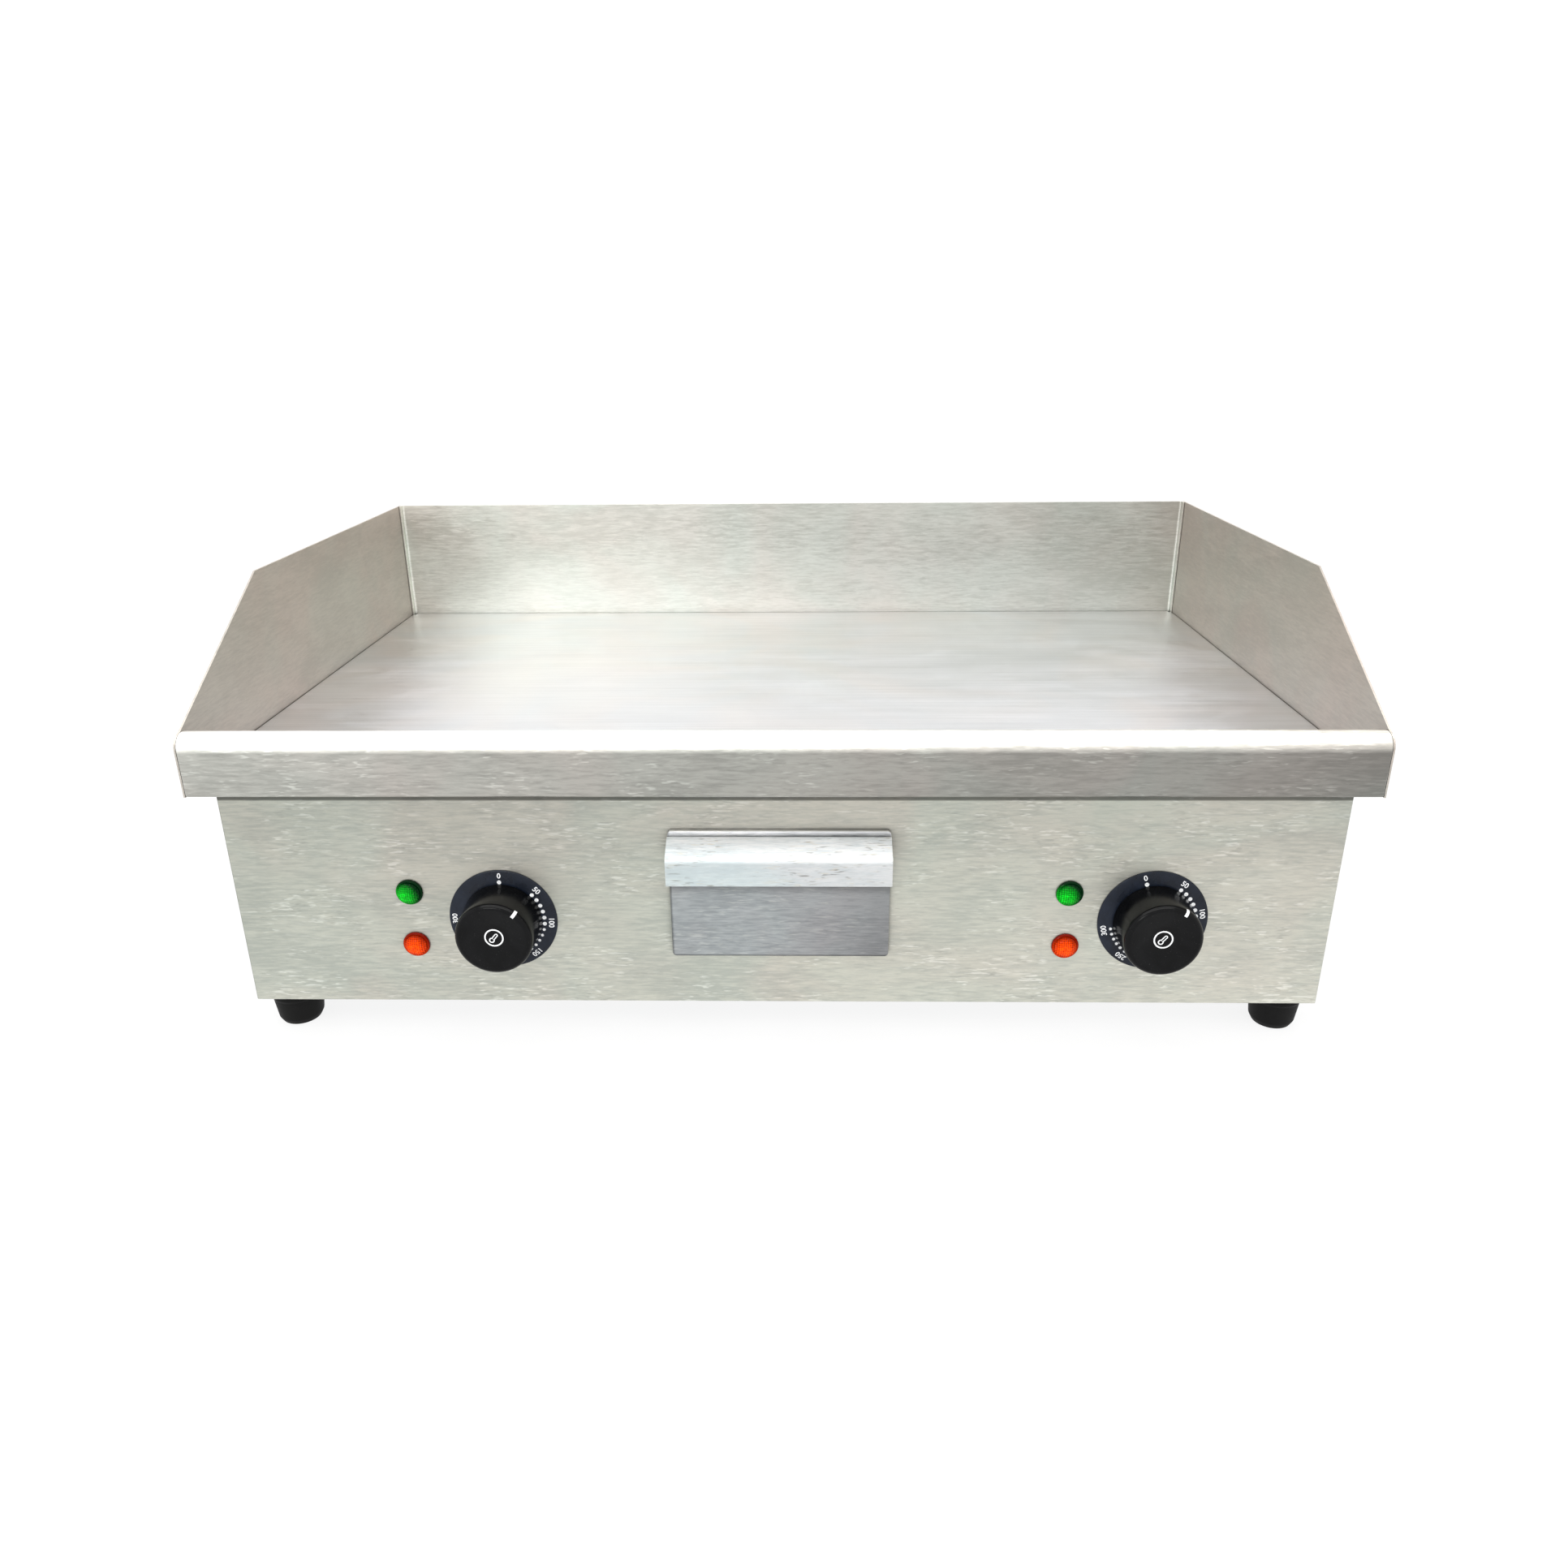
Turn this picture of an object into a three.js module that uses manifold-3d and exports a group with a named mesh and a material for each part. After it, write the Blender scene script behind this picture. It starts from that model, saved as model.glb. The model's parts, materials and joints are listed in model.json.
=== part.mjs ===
// A counter-top electric griddle with two heat zones, in millimetres, +Z up.
// X runs to the cook's right and Y from the cook towards the wall. The origin is the
// centre of the footprint, on the counter. A welded top (plate, splash guards, bullnose
// and grease trough) stands on a sheet-metal cabinet, which holds two thermostats, four
// pilot lamps, the wiring and a grease drawer.
import * as THREE from "three";
import { mergeVertices } from "three/addons/utils/BufferGeometryUtils.js";
import Module from "manifold-3d";

const wasm = await Module();
wasm.setup();

// ---- Driving dimensions ----
const GAP = 0.3; // between pieces that touch
const SHEET = 1.2; // splash guards, bullnose, trough, handle and runners
const THIN = 1.0; // cabinet panels and drawer
const LIGHT = 0.8; // base pan and heat shield
const FRONT = -228; // y of the bullnose's front face

const HALF_WIDTH = 365; // to the outside of a splash guard
const INNER_HALF = HALF_WIDTH - SHEET;
const SKIRT_BOTTOM = 182.4; // underside of the welded top
const PLATE_TOP = 192;
const PLATE_THICKNESS = 8;
const PLATE_BOTTOM = PLATE_TOP - PLATE_THICKNESS;
const PLATE_FRONT = FRONT + 46;
const NOSE_TOP = 222;
const NOSE_RADIUS = 10;
const CORNER = { fold: 6, bend: 2 }; // the rear guard's ends, which lie on the side guards
const GUARD_TOP = 294.5;
const GUARD_SHOULDER = FRONT + 140; // the guard's top edge slopes down from here
const SPLASH_BACK = FRONT + 447.5;
const SPLASH_FRONT = SPLASH_BACK - SHEET;
const SKIRT_FLANGE = 13.5; // the skirt's inward fold over the cabinet

const CABINET_HALF = 357.6;
const CABINET_BOTTOM = 25;
const CABINET_TOP = SKIRT_BOTTOM - GAP;
const PANEL_FRONT = FRONT + 22;
const PANEL_RETURN = 14; // the front panel's folded ends
const CABINET_BACK = FRONT + 441;
const BASE_BOTTOM = CABINET_BOTTOM + 0.6;
const BASE_TOP = BASE_BOTTOM + LIGHT;
const BASE_LIP = 14;

const FOOT = { x: 338, front: FRONT + 42, back: FRONT + 420, top: 17.5, bottom: 12 };
const FOOT_TOP = BASE_BOTTOM - GAP;
const FEET = [
  ["front_left", -FOOT.x, FOOT.front],
  ["front_right", FOOT.x, FOOT.front],
  ["rear_left", -FOOT.x, FOOT.back],
  ["rear_right", FOOT.x, FOOT.back],
];
const BOLT = { shank: 4, hole: 4.5, across: 13, head: 5.3, end: 9 };

const CONTROL_Z = 87.5; // height of the knobs' axes
const KNOB_X = { left: -182, right: 242 };
const LAMP_X = { left: -242, right: 187 };
const LAMP_Z = { power: CONTROL_Z + 19.5, heating: CONTROL_Z - 19 };
const DIAL = { radius: 35.5, bore: 6, back: GAP, face: 1.8 };
const KNOB = { base: 26, rim: 24.6, back: DIAL.face + GAP, face: 29, bore: 3.3 };
const SHAFT = { radius: 3, hole: 5, seat: 3.1, end: 20 };
const LAMP = { flange: 8.8, lens: 7.9, dome: 5.2, barrel: 5.9, hole: 6.3, length: 30 };

const DRAWER_HALF = 71; // half the width of its front
const DRAWER_BOTTOM = 62;
const DRAWER_TOP = 152;
const DRAWER_FACE = PANEL_FRONT - 3.6;
const TRAY = { half: 64, bottom: 67.9, top: 143, depth: 180 };
const CUTOUT = { half: 66.5, bottom: 66, top: 148 };
const LIP = { y: FRONT - 0.5, top: 142, bottom: 122.6 };

const TROUGH = { half: 342, floor: 172.6, front: FRONT + 25.5, back: FRONT + 45.1 };
const DRAIN = { y: (TROUGH.front + TROUGH.back) / 2, radius: 7.5, wall: 1.2, end: 150 };

const TUBE_RADIUS = 4.2; // of a heating element
const ELEMENT = { pitch: 56, runs: 6, inner: 40, front: FRONT + 110, back: FRONT + 395 };
const TERMINAL = { y: FRONT + 70, z: 146.5 }; // the lower ends of a heating element
const ZONE_X = ELEMENT.inner + (ELEMENT.pitch * (ELEMENT.runs - 1)) / 2; // its middle
const ELEMENT_Z = PLATE_BOTTOM - GAP - TUBE_RADIUS;
const CLAMP_TOP = ELEMENT_Z - TUBE_RADIUS - GAP;
const CLAMP_BOTTOM = CLAMP_TOP - 1.5;
const CLAMP_BOLT_Y = FRONT + 300;
const SHIELD_Z = 158.5;

const GLAND = { x: 150, z: 60, hole: 8.2, bore: 5, end: 22 };
const EARTH = { x: 0, z: 60, hole: 3.5 };
const REAR_SCREW = { x: 340, heights: [45, 165], hole: 2.3 };
const REAR_VENT = { x: 200, z: 110, pitch: 22, count: 5, width: 7, height: 50 };
const BASE_VENT = { x: 200, y: FRONT + 250, pitch: 26, count: 4, width: 8, length: 70 };
const RIGHT_ANGLE = Math.PI / 2;
const BEND = 1.4; // usual inside of a sheet-metal bend, at the middle of the sheet

// ---- Materials ----
const material = (color, roughness, metalness) =>
  new THREE.MeshStandardMaterial({ color, roughness, metalness, flatShading: true });
const STAINLESS = material(0xc9c8c1, 0.32, 1);
const GROUND_STEEL = material(0xd2d2d6, 0.28, 1);
const ZINC_STEEL = material(0xb5b8ba, 0.45, 1);
const ELEMENT_STEEL = material(0x5d5a55, 0.55, 1);
const COPPER = material(0xb8734a, 0.4, 1);
const BRASS = material(0xc9a552, 0.35, 1);
const BLACK_PLASTIC = material(0x101216, 0.25, 0);
const RUBBER = material(0x0b0b0b, 0.7, 0);
const CERAMIC = material(0xe8e2d4, 0.6, 0);
const GREEN_LENS = material(0x0a8f25, 0.15, 0);
const AMBER_LENS = material(0xf0470c, 0.15, 0);
const SILICONE = material(0xc8c4b6, 0.6, 0);

// ---- Solids ----
function solidOf(geometry) {
  const flat = geometry.index ? geometry.toNonIndexed() : geometry;
  const bare = new THREE.BufferGeometry();
  bare.setAttribute("position", flat.getAttribute("position"));
  const merged = mergeVertices(bare, 1e-4);
  const vertProperties = merged.attributes.position.array;
  const triVerts = new Uint32Array(merged.index.array);
  return new wasm.Manifold(new wasm.Mesh({ numProp: 3, vertProperties, triVerts }));
}

function geometryOf(solid) {
  const { vertProperties, triVerts } = solid.getMesh();
  return new THREE.BufferGeometry()
    .setAttribute("position", new THREE.BufferAttribute(vertProperties, 3))
    .setIndex(new THREE.BufferAttribute(triVerts, 1));
}

const join = (first, ...rest) => rest.reduce((sum, next) => sum.add(next), first);
const cut = (first, ...rest) => rest.reduce((left, next) => left.subtract(next), first);

function box(x0, x1, y0, y1, z0, z1) {
  const geometry = new THREE.BoxGeometry(x1 - x0, y1 - y0, z1 - z0);
  return solidOf(geometry.translate((x0 + x1) / 2, (y0 + y1) / 2, (z0 + z1) / 2));
}

// A shape drawn in (y, z), (x, z) or (x, y), pushed along x, y or z from low to high.
function prism(axis, shape, low, high, curveSegments = 3) {
  const x = new THREE.Vector3(1, 0, 0);
  const y = new THREE.Vector3(0, 1, 0);
  const z = new THREE.Vector3(0, 0, 1);
  const turn = new THREE.Matrix4();
  if (axis === "x") turn.makeBasis(y, z, x).setPosition(low, 0, 0);
  if (axis === "y") turn.makeBasis(x, z, y.negate()).setPosition(0, high, 0);
  if (axis === "z") turn.setPosition(0, 0, low);
  const settings = { depth: high - low, bevelEnabled: false, curveSegments };
  return solidOf(new THREE.ExtrudeGeometry(shape, settings).applyMatrix4(turn));
}

const polygon = (points) => new THREE.Shape(points.map(([u, v]) => new THREE.Vector2(u, v)));

function round(u, v, radius, sides) {
  const corner = (i) => (i / sides) * 2 * Math.PI;
  const at = (i) => [u + radius * Math.cos(corner(i)), v + radius * Math.sin(corner(i))];
  return polygon(Array.from({ length: sides }, (_, i) => at(i)));
}

const hexagon = (u, v, across) => round(u, v, across / Math.sqrt(3), 6);

// An upright slot with round ends.
function slot(u, v, width, height) {
  const r = width / 2;
  const rise = height / 2 - r;
  return new THREE.Shape()
    .absarc(u, v + rise, r, 0, Math.PI, false)
    .absarc(u, v - rise, r, Math.PI, 2 * Math.PI, false);
}

// A rectangle with round corners.
function plaque(u0, u1, v0, v1, r) {
  return new THREE.Shape()
    .absarc(u1 - r, v0 + r, r, -RIGHT_ANGLE, 0, false)
    .absarc(u1 - r, v1 - r, r, 0, RIGHT_ANGLE, false)
    .absarc(u0 + r, v1 - r, r, RIGHT_ANGLE, Math.PI, false)
    .absarc(u0 + r, v0 + r, r, Math.PI, 3 * RIGHT_ANGLE, false);
}

// The outline of a bent sheet whose middle follows points [u, v, bend radius].
function sheet(points, thickness) {
  const at = (i) => new THREE.Vector2(points[i][0], points[i][1]);
  const heading = (i) => at(i + 1).sub(at(i)).normalize();
  const middle = [];
  const add = (p, d) => middle.push([p, new THREE.Vector2(-d.y, d.x)]);
  const last = points.length - 1;
  add(at(0), heading(0));
  for (let i = 1; i < last; i++) {
    const before = heading(i - 1);
    const turn = Math.atan2(before.cross(heading(i)), before.dot(heading(i)));
    const radius = points[i][2];
    const start = at(i).addScaledVector(before, -radius * Math.tan(Math.abs(turn) / 2));
    const side = new THREE.Vector2(-before.y, before.x).multiplyScalar(Math.sign(turn));
    const centre = start.clone().addScaledVector(side, radius);
    const steps = Math.ceil(Math.abs(turn) * (radius > 3 ? 4 : 1.5));
    for (let k = 0; k <= steps; k++) {
      const angle = (turn * k) / steps;
      const aim = before.clone().rotateAround(new THREE.Vector2(), angle);
      add(start.clone().rotateAround(centre, angle), aim);
    }
  }
  add(at(last), heading(last - 1));
  const face = (s) => middle.map(([p, n]) => p.clone().addScaledVector(n, (s * thickness) / 2));
  return new THREE.Shape([...face(-1), ...face(1).reverse()]);
}

// A solid of revolution about Z from a profile of [radius, z].
function turned(profile, sides) {
  const lathe = (points) =>
    solidOf(new THREE.LatheGeometry(points, sides).rotateX(RIGHT_ANGLE));
  const points = profile.map(([r, z]) => new THREE.Vector2(r, z));
  const made = lathe(points);
  return made.volume() > 0 ? made : lathe(points.reverse());
}

// A path through given stations, each a point with its own heading.
class Stations extends THREE.Curve {
  constructor(stations) {
    super();
    this.stations = stations;
  }

  station(u) {
    return this.stations[Math.round(u * (this.stations.length - 1))];
  }

  getPointAt(u) {
    return this.station(u).point.clone();
  }

  getTangentAt(u) {
    return this.station(u).heading.clone();
  }
}

// A rod along straight runs through points [x, y, z, bend radius].
function rod(points, radius, sides) {
  const stops = points.map((p) => new THREE.Vector3(p[0], p[1], p[2]));
  const last = stops.length - 1;
  const heading = (i) => stops[i + 1].clone().sub(stops[i]).normalize();
  const stations = [{ point: stops[0], heading: heading(0) }];
  for (let i = 1; i < last; i++) {
    const before = heading(i - 1);
    const after = heading(i);
    const turn = before.angleTo(after);
    const bend = points[i][3];
    const side = after.clone().addScaledVector(before, -after.dot(before)).normalize();
    const start = stops[i].clone().addScaledVector(before, -bend * Math.tan(turn / 2));
    const centre = start.addScaledVector(side, bend);
    const steps = Math.ceil(turn * (bend > 20 ? 2 : 1.5));
    for (let k = 0; k <= steps; k++) {
      const angle = (turn * k) / steps;
      const point = centre.clone().addScaledVector(side, -bend * Math.cos(angle));
      point.addScaledVector(before, bend * Math.sin(angle));
      const aim = before.clone().multiplyScalar(Math.cos(angle));
      stations.push({ point, heading: aim.addScaledVector(side, Math.sin(angle)) });
    }
  }
  stations.push({ point: stops[last], heading: heading(last - 1) });
  const settings = { steps: stations.length - 1, extrudePath: new Stations(stations) };
  return solidOf(new THREE.ExtrudeGeometry(round(0, 0, radius, sides), settings));
}

// ---- The scene graph ----
const griddle = new THREE.Group();

function piece(name, solid, look, parent = griddle) {
  const mesh = new THREE.Mesh(geometryOf(solid), look);
  mesh.name = name;
  parent.add(mesh);
  return mesh;
}

// A group on a wall: its own +Z points out of the wall, at y, and its +Y up or down.
function onWall(x, y, z, outward) {
  const group = new THREE.Group();
  group.position.set(x, y, z);
  group.rotation.x = -outward * RIGHT_ANGLE;
  griddle.add(group);
  return group;
}

const SIDES = [
  ["left", -1],
  ["right", 1],
];

// Two x values in rising order, for a piece mirrored to one side.
const span = (sign, a, b) => [Math.min(sign * a, sign * b), Math.max(sign * a, sign * b)];

// ---- The welded top ----
// The plate's rear corners are notched round the rear guard's folded ends.
function cookingPlate() {
  const chamfer = 1.5;
  const back = SPLASH_FRONT - 2 * GAP;
  const profile = polygon([
    [PLATE_FRONT, PLATE_BOTTOM],
    [back, PLATE_BOTTOM],
    [back, PLATE_TOP],
    [PLATE_FRONT + chamfer, PLATE_TOP],
    [PLATE_FRONT, PLATE_TOP - chamfer],
  ]);
  const half = INNER_HALF - GAP;
  const relief = half - SHEET / 2 - CORNER.bend - GAP;
  const folds = SIDES.map(([, sign]) =>
    box(
      ...span(sign, relief, half + 1),
      SPLASH_BACK - SHEET / 2 - CORNER.fold - GAP,
      back + 1,
      PLATE_BOTTOM - 1,
      PLATE_TOP + 1,
    ),
  );
  const slab = prism("x", profile, -half, half);
  piece("griddle_plate", cut(slab, ...folds), GROUND_STEEL);
}

// Each guard is one sheet: its front end also closes the bullnose, and its foot folds in.
function sideGuards() {
  const noseCentre = NOSE_TOP - NOSE_RADIUS;
  const outline = new THREE.Shape()
    .moveTo(SPLASH_BACK, SKIRT_BOTTOM)
    .lineTo(SPLASH_BACK, GUARD_TOP)
    .lineTo(GUARD_SHOULDER, GUARD_TOP)
    .absarc(FRONT + NOSE_RADIUS, noseCentre, NOSE_RADIUS, RIGHT_ANGLE * 1.1, Math.PI, false)
    .lineTo(FRONT, SKIRT_BOTTOM);
  for (const [side, sign] of SIDES) {
    const wall = prism("x", outline, ...span(sign, INNER_HALF, HALF_WIDTH), 6);
    const fold = box(
      ...span(sign, INNER_HALF - SKIRT_FLANGE, INNER_HALF + SHEET / 2),
      PANEL_FRONT + THIN + 2,
      SPLASH_FRONT - SKIRT_FLANGE - GAP,
      SKIRT_BOTTOM,
      SKIRT_BOTTOM + SHEET,
    );
    piece(`${side}_splash_guard`, join(wall, fold), STAINLESS);
  }
}

// The rear guard's ends fold forward and lie on the side guards, and its foot folds in.
function rearGuard() {
  const half = INNER_HALF - GAP;
  const reach = half - SHEET / 2;
  const middle = SPLASH_BACK - SHEET / 2;
  const plan = sheet(
    [
      [-reach, middle - CORNER.fold],
      [-reach, middle, CORNER.bend],
      [reach, middle, CORNER.bend],
      [reach, middle - CORNER.fold],
    ],
    SHEET,
  );
  const wall = prism("z", plan, PLATE_BOTTOM, GUARD_TOP);
  const skirt = sheet(
    [
      [middle, PLATE_TOP + 1],
      [middle, SKIRT_BOTTOM + SHEET / 2, BEND],
      [middle - SKIRT_FLANGE, SKIRT_BOTTOM + SHEET / 2],
    ],
    SHEET,
  );
  const foot = prism("x", skirt, -half + 4, half - 4);
  piece("rear_splash_guard", join(wall, foot), STAINLESS);
}

function bullnose() {
  const arc = NOSE_RADIUS - SHEET / 2;
  const front = FRONT + SHEET / 2;
  const back = FRONT + 2 * NOSE_RADIUS - SHEET / 2;
  const floor = SKIRT_BOTTOM + SHEET / 2;
  const shelf = floor + 1.9;
  const crown = NOSE_TOP - SHEET / 2;
  const end = TROUGH.front - SHEET / 2 - GAP;
  const profile = sheet(
    [
      [end, floor],
      [front, floor, BEND],
      [front, crown, arc],
      [back, crown, arc],
      [back, shelf, BEND],
      [end, shelf],
    ],
    SHEET,
  );
  const half = INNER_HALF - GAP;
  piece("front_bullnose", prism("x", profile, -half, half), STAINLESS);
}

function greaseTrough() {
  const { half, floor, front, back } = TROUGH;
  const profile = sheet(
    [
      [front, SKIRT_BOTTOM + 3.1],
      [front, floor, BEND],
      [back, floor, BEND],
      [back, PLATE_TOP - 0.5],
    ],
    SHEET,
  );
  // Each end is closed, and its top folds out over the side guard's foot.
  const ledge = SKIRT_BOTTOM + SHEET + GAP;
  const inside = half - GAP - SHEET;
  const ends = SIDES.flatMap(([, sign]) => [
    box(...span(sign, inside, half - GAP), front, back, floor, ledge + SHEET),
    box(
      ...span(sign, inside, INNER_HALF - GAP),
      front - SHEET / 2,
      PLATE_FRONT - GAP,
      ledge,
      ledge + SHEET,
    ),
  ]);
  const channel = prism("x", profile, -half + GAP, half - GAP);
  const drain = prism("z", round(0, DRAIN.y, DRAIN.radius, 16), floor - 5, floor + 5);
  piece("grease_trough", cut(join(channel, ...ends), drain), STAINLESS);

  const collar = floor - SHEET / 2 - GAP;
  const outer = DRAIN.radius + DRAIN.wall;
  const spout = turned(
    [
      [DRAIN.radius, DRAIN.end],
      [outer, DRAIN.end],
      [outer, collar - 1.5],
      [outer + 2, collar - 1.5],
      [outer + 2, collar],
      [DRAIN.radius, collar],
      [DRAIN.radius, DRAIN.end],
    ],
    16,
  );
  piece("drain_spout", spout, STAINLESS).position.set(0, DRAIN.y, 0);
}

// ---- Heating, under the plate ----
// The element runs to and fro under the plate, and both its ends turn down at the front.
function heatingZone(side, sign) {
  const { pitch, runs, inner, front, back } = ELEMENT;
  const bend = pitch / 2 - 0.5;
  const outer = inner + (runs - 1) * pitch;
  const points = [[sign * inner, TERMINAL.y, TERMINAL.z]];
  points.push([sign * inner, TERMINAL.y, ELEMENT_Z, 10]);
  for (let run = 0; run < runs - 1; run++) {
    const y = run % 2 ? front - bend : back + bend;
    points.push([sign * (inner + run * pitch), y, ELEMENT_Z, bend]);
    points.push([sign * (inner + (run + 1) * pitch), y, ELEMENT_Z, bend]);
  }
  points.push([sign * outer, TERMINAL.y, ELEMENT_Z, 10]);
  points.push([sign * outer, TERMINAL.y, TERMINAL.z]);
  piece(`${side}_heating_element`, rod(points, TUBE_RADIUS, 8), ELEMENT_STEEL);

  const middle = sign * ZONE_X;
  const reach = ((runs - 1) * pitch) / 2 + 14;
  const hole = prism("z", round(middle, CLAMP_BOLT_Y, BOLT.hole, 16), 150, 190);
  const clamp = box(
    middle - reach,
    middle + reach,
    FRONT + 130,
    FRONT + 385,
    CLAMP_BOTTOM,
    CLAMP_TOP,
  );
  piece(`${side}_element_clamp`, cut(clamp, hole), ZINC_STEEL);

  const stud = turned(
    [
      [0, SHIELD_Z + 4],
      [BOLT.shank, SHIELD_Z + 4],
      [BOLT.shank, PLATE_BOTTOM - GAP],
      [0, PLATE_BOTTOM - GAP],
    ],
    16,
  );
  const nutTop = CLAMP_BOTTOM - GAP;
  const nut = prism("z", hexagon(0, 0, BOLT.across), nutTop - 6.5, nutTop);
  const bolt = piece(`${side}_clamp_bolt`, join(stud, nut), ZINC_STEEL);
  bolt.position.set(middle, CLAMP_BOLT_Y, 0);
}

function heatShield() {
  const front = FRONT + 92;
  const back = FRONT + 430;
  const profile = sheet(
    [
      [front, SHIELD_Z - 7],
      [front, SHIELD_Z, BEND],
      [back, SHIELD_Z, BEND],
      [back, SHIELD_Z - 7],
    ],
    LIGHT,
  );
  const half = CABINET_HALF - THIN - GAP;
  piece("heat_shield", prism("x", profile, -half, half), ZINC_STEEL);
}

// ---- The cabinet ----
function frontPanel() {
  const middle = CABINET_HALF - THIN / 2;
  const face = PANEL_FRONT + THIN / 2;
  const plan = sheet(
    [
      [-middle, PANEL_FRONT + PANEL_RETURN],
      [-middle, face, BEND],
      [middle, face, BEND],
      [middle, PANEL_FRONT + PANEL_RETURN],
    ],
    THIN,
  );
  const through = (shape) => prism("y", shape, PANEL_FRONT - 2, PANEL_FRONT + 5);
  const holes = SIDES.flatMap(([side]) => [
    through(round(KNOB_X[side], CONTROL_Z, SHAFT.hole, 12)),
    through(round(LAMP_X[side], LAMP_Z.power, LAMP.hole, 12)),
    through(round(LAMP_X[side], LAMP_Z.heating, LAMP.hole, 12)),
  ]);
  const { half, bottom, top } = CUTOUT;
  const window = through(plaque(-half, half, bottom, top, 2));
  const panel = prism("z", plan, CABINET_BOTTOM, CABINET_TOP);
  piece("front_panel", cut(panel, window, ...holes), STAINLESS);
}

function sidePanels() {
  const middle = CABINET_HALF - THIN / 2;
  for (const [side, sign] of SIDES) {
    const profile = sheet(
      [
        [sign * middle, CABINET_BOTTOM],
        [sign * middle, CABINET_TOP - THIN / 2, BEND],
        [sign * (middle - 12), CABINET_TOP - THIN / 2],
      ],
      THIN,
    );
    const front = PANEL_FRONT + PANEL_RETURN + GAP;
    piece(`${side}_side_panel`, prism("y", profile, front, CABINET_BACK), STAINLESS);
  }
}

function rearPanel() {
  const half = CABINET_HALF - THIN - GAP;
  const front = CABINET_BACK - THIN;
  const through = (shape) => prism("y", shape, front - 5, CABINET_BACK + 5);
  const holes = [];
  for (const [, sign] of SIDES) {
    holes.push(through(round(sign * GLAND.x, GLAND.z, GLAND.hole, 16)));
    for (const z of REAR_SCREW.heights) {
      holes.push(through(round(sign * REAR_SCREW.x, z, REAR_SCREW.hole, 8)));
    }
    const { x, z, pitch, count, width, height } = REAR_VENT;
    for (let i = 0; i < count; i++) {
      holes.push(through(slot(sign * (x + i * pitch), z, width, height)));
    }
  }
  holes.push(through(round(EARTH.x, EARTH.z, EARTH.hole, 12)));
  const panel = box(-half, half, front, CABINET_BACK, CABINET_BOTTOM, CABINET_TOP - 2);
  piece("rear_panel", cut(panel, ...holes), STAINLESS);
}

function basePan() {
  const half = CABINET_HALF - THIN - GAP;
  const front = PANEL_FRONT + THIN + GAP;
  const back = CABINET_BACK - THIN - GAP;
  const outer = box(-half, half, front, back, BASE_BOTTOM, BASE_TOP + BASE_LIP);
  const inner = box(
    -half + LIGHT,
    half - LIGHT,
    front + LIGHT,
    back - LIGHT,
    BASE_TOP,
    BASE_TOP + 2 * BASE_LIP,
  );
  // The front panel's folded ends stand where the pan's front corners would be.
  const corners = SIDES.map(([, sign]) =>
    box(
      ...span(sign, half - 2.5, half + 1),
      front - 1,
      PANEL_FRONT + PANEL_RETURN + GAP,
      BASE_BOTTOM - 1,
      BASE_TOP + 2 * BASE_LIP,
    ),
  );
  const through = (shape) => prism("z", shape, BASE_BOTTOM - 5, BASE_TOP + 5);
  const holes = FEET.map(([, x, y]) => through(round(x, y, BOLT.hole, 12)));
  for (const [, sign] of SIDES) {
    const { x, y, pitch, count, width, length } = BASE_VENT;
    for (let i = 0; i < count; i++) {
      holes.push(through(slot(sign * (x + i * pitch), y, width, length)));
    }
  }
  piece("base_pan", cut(outer, inner, ...corners, ...holes), ZINC_STEEL);
}

// Rubber feet on bolts that come down through the base pan.
function feet() {
  const shape = turned(
    [
      [0, 0],
      [FOOT.bottom - 1, 0],
      [FOOT.bottom, 1],
      [FOOT.top, FOOT_TOP - 3],
      [FOOT.top, FOOT_TOP],
      [BOLT.shank + GAP, FOOT_TOP],
      [BOLT.shank + GAP, BOLT.end - 1],
      [0, BOLT.end - 1],
    ],
    20,
  );
  const shank = turned(
    [
      [0, BOLT.end],
      [BOLT.shank, BOLT.end],
      [BOLT.shank, BASE_TOP + GAP + 1],
      [0, BASE_TOP + GAP + 1],
    ],
    12,
  );
  const seat = BASE_TOP + GAP;
  const head = prism("z", hexagon(0, 0, BOLT.across), seat, seat + BOLT.head);
  for (const [place, x, y] of FEET) {
    piece(`foot_${place}`, shape, RUBBER).position.set(x, y, 0);
    piece(`foot_bolt_${place}`, join(shank, head), ZINC_STEEL).position.set(x, y, 0);
  }
}

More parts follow.
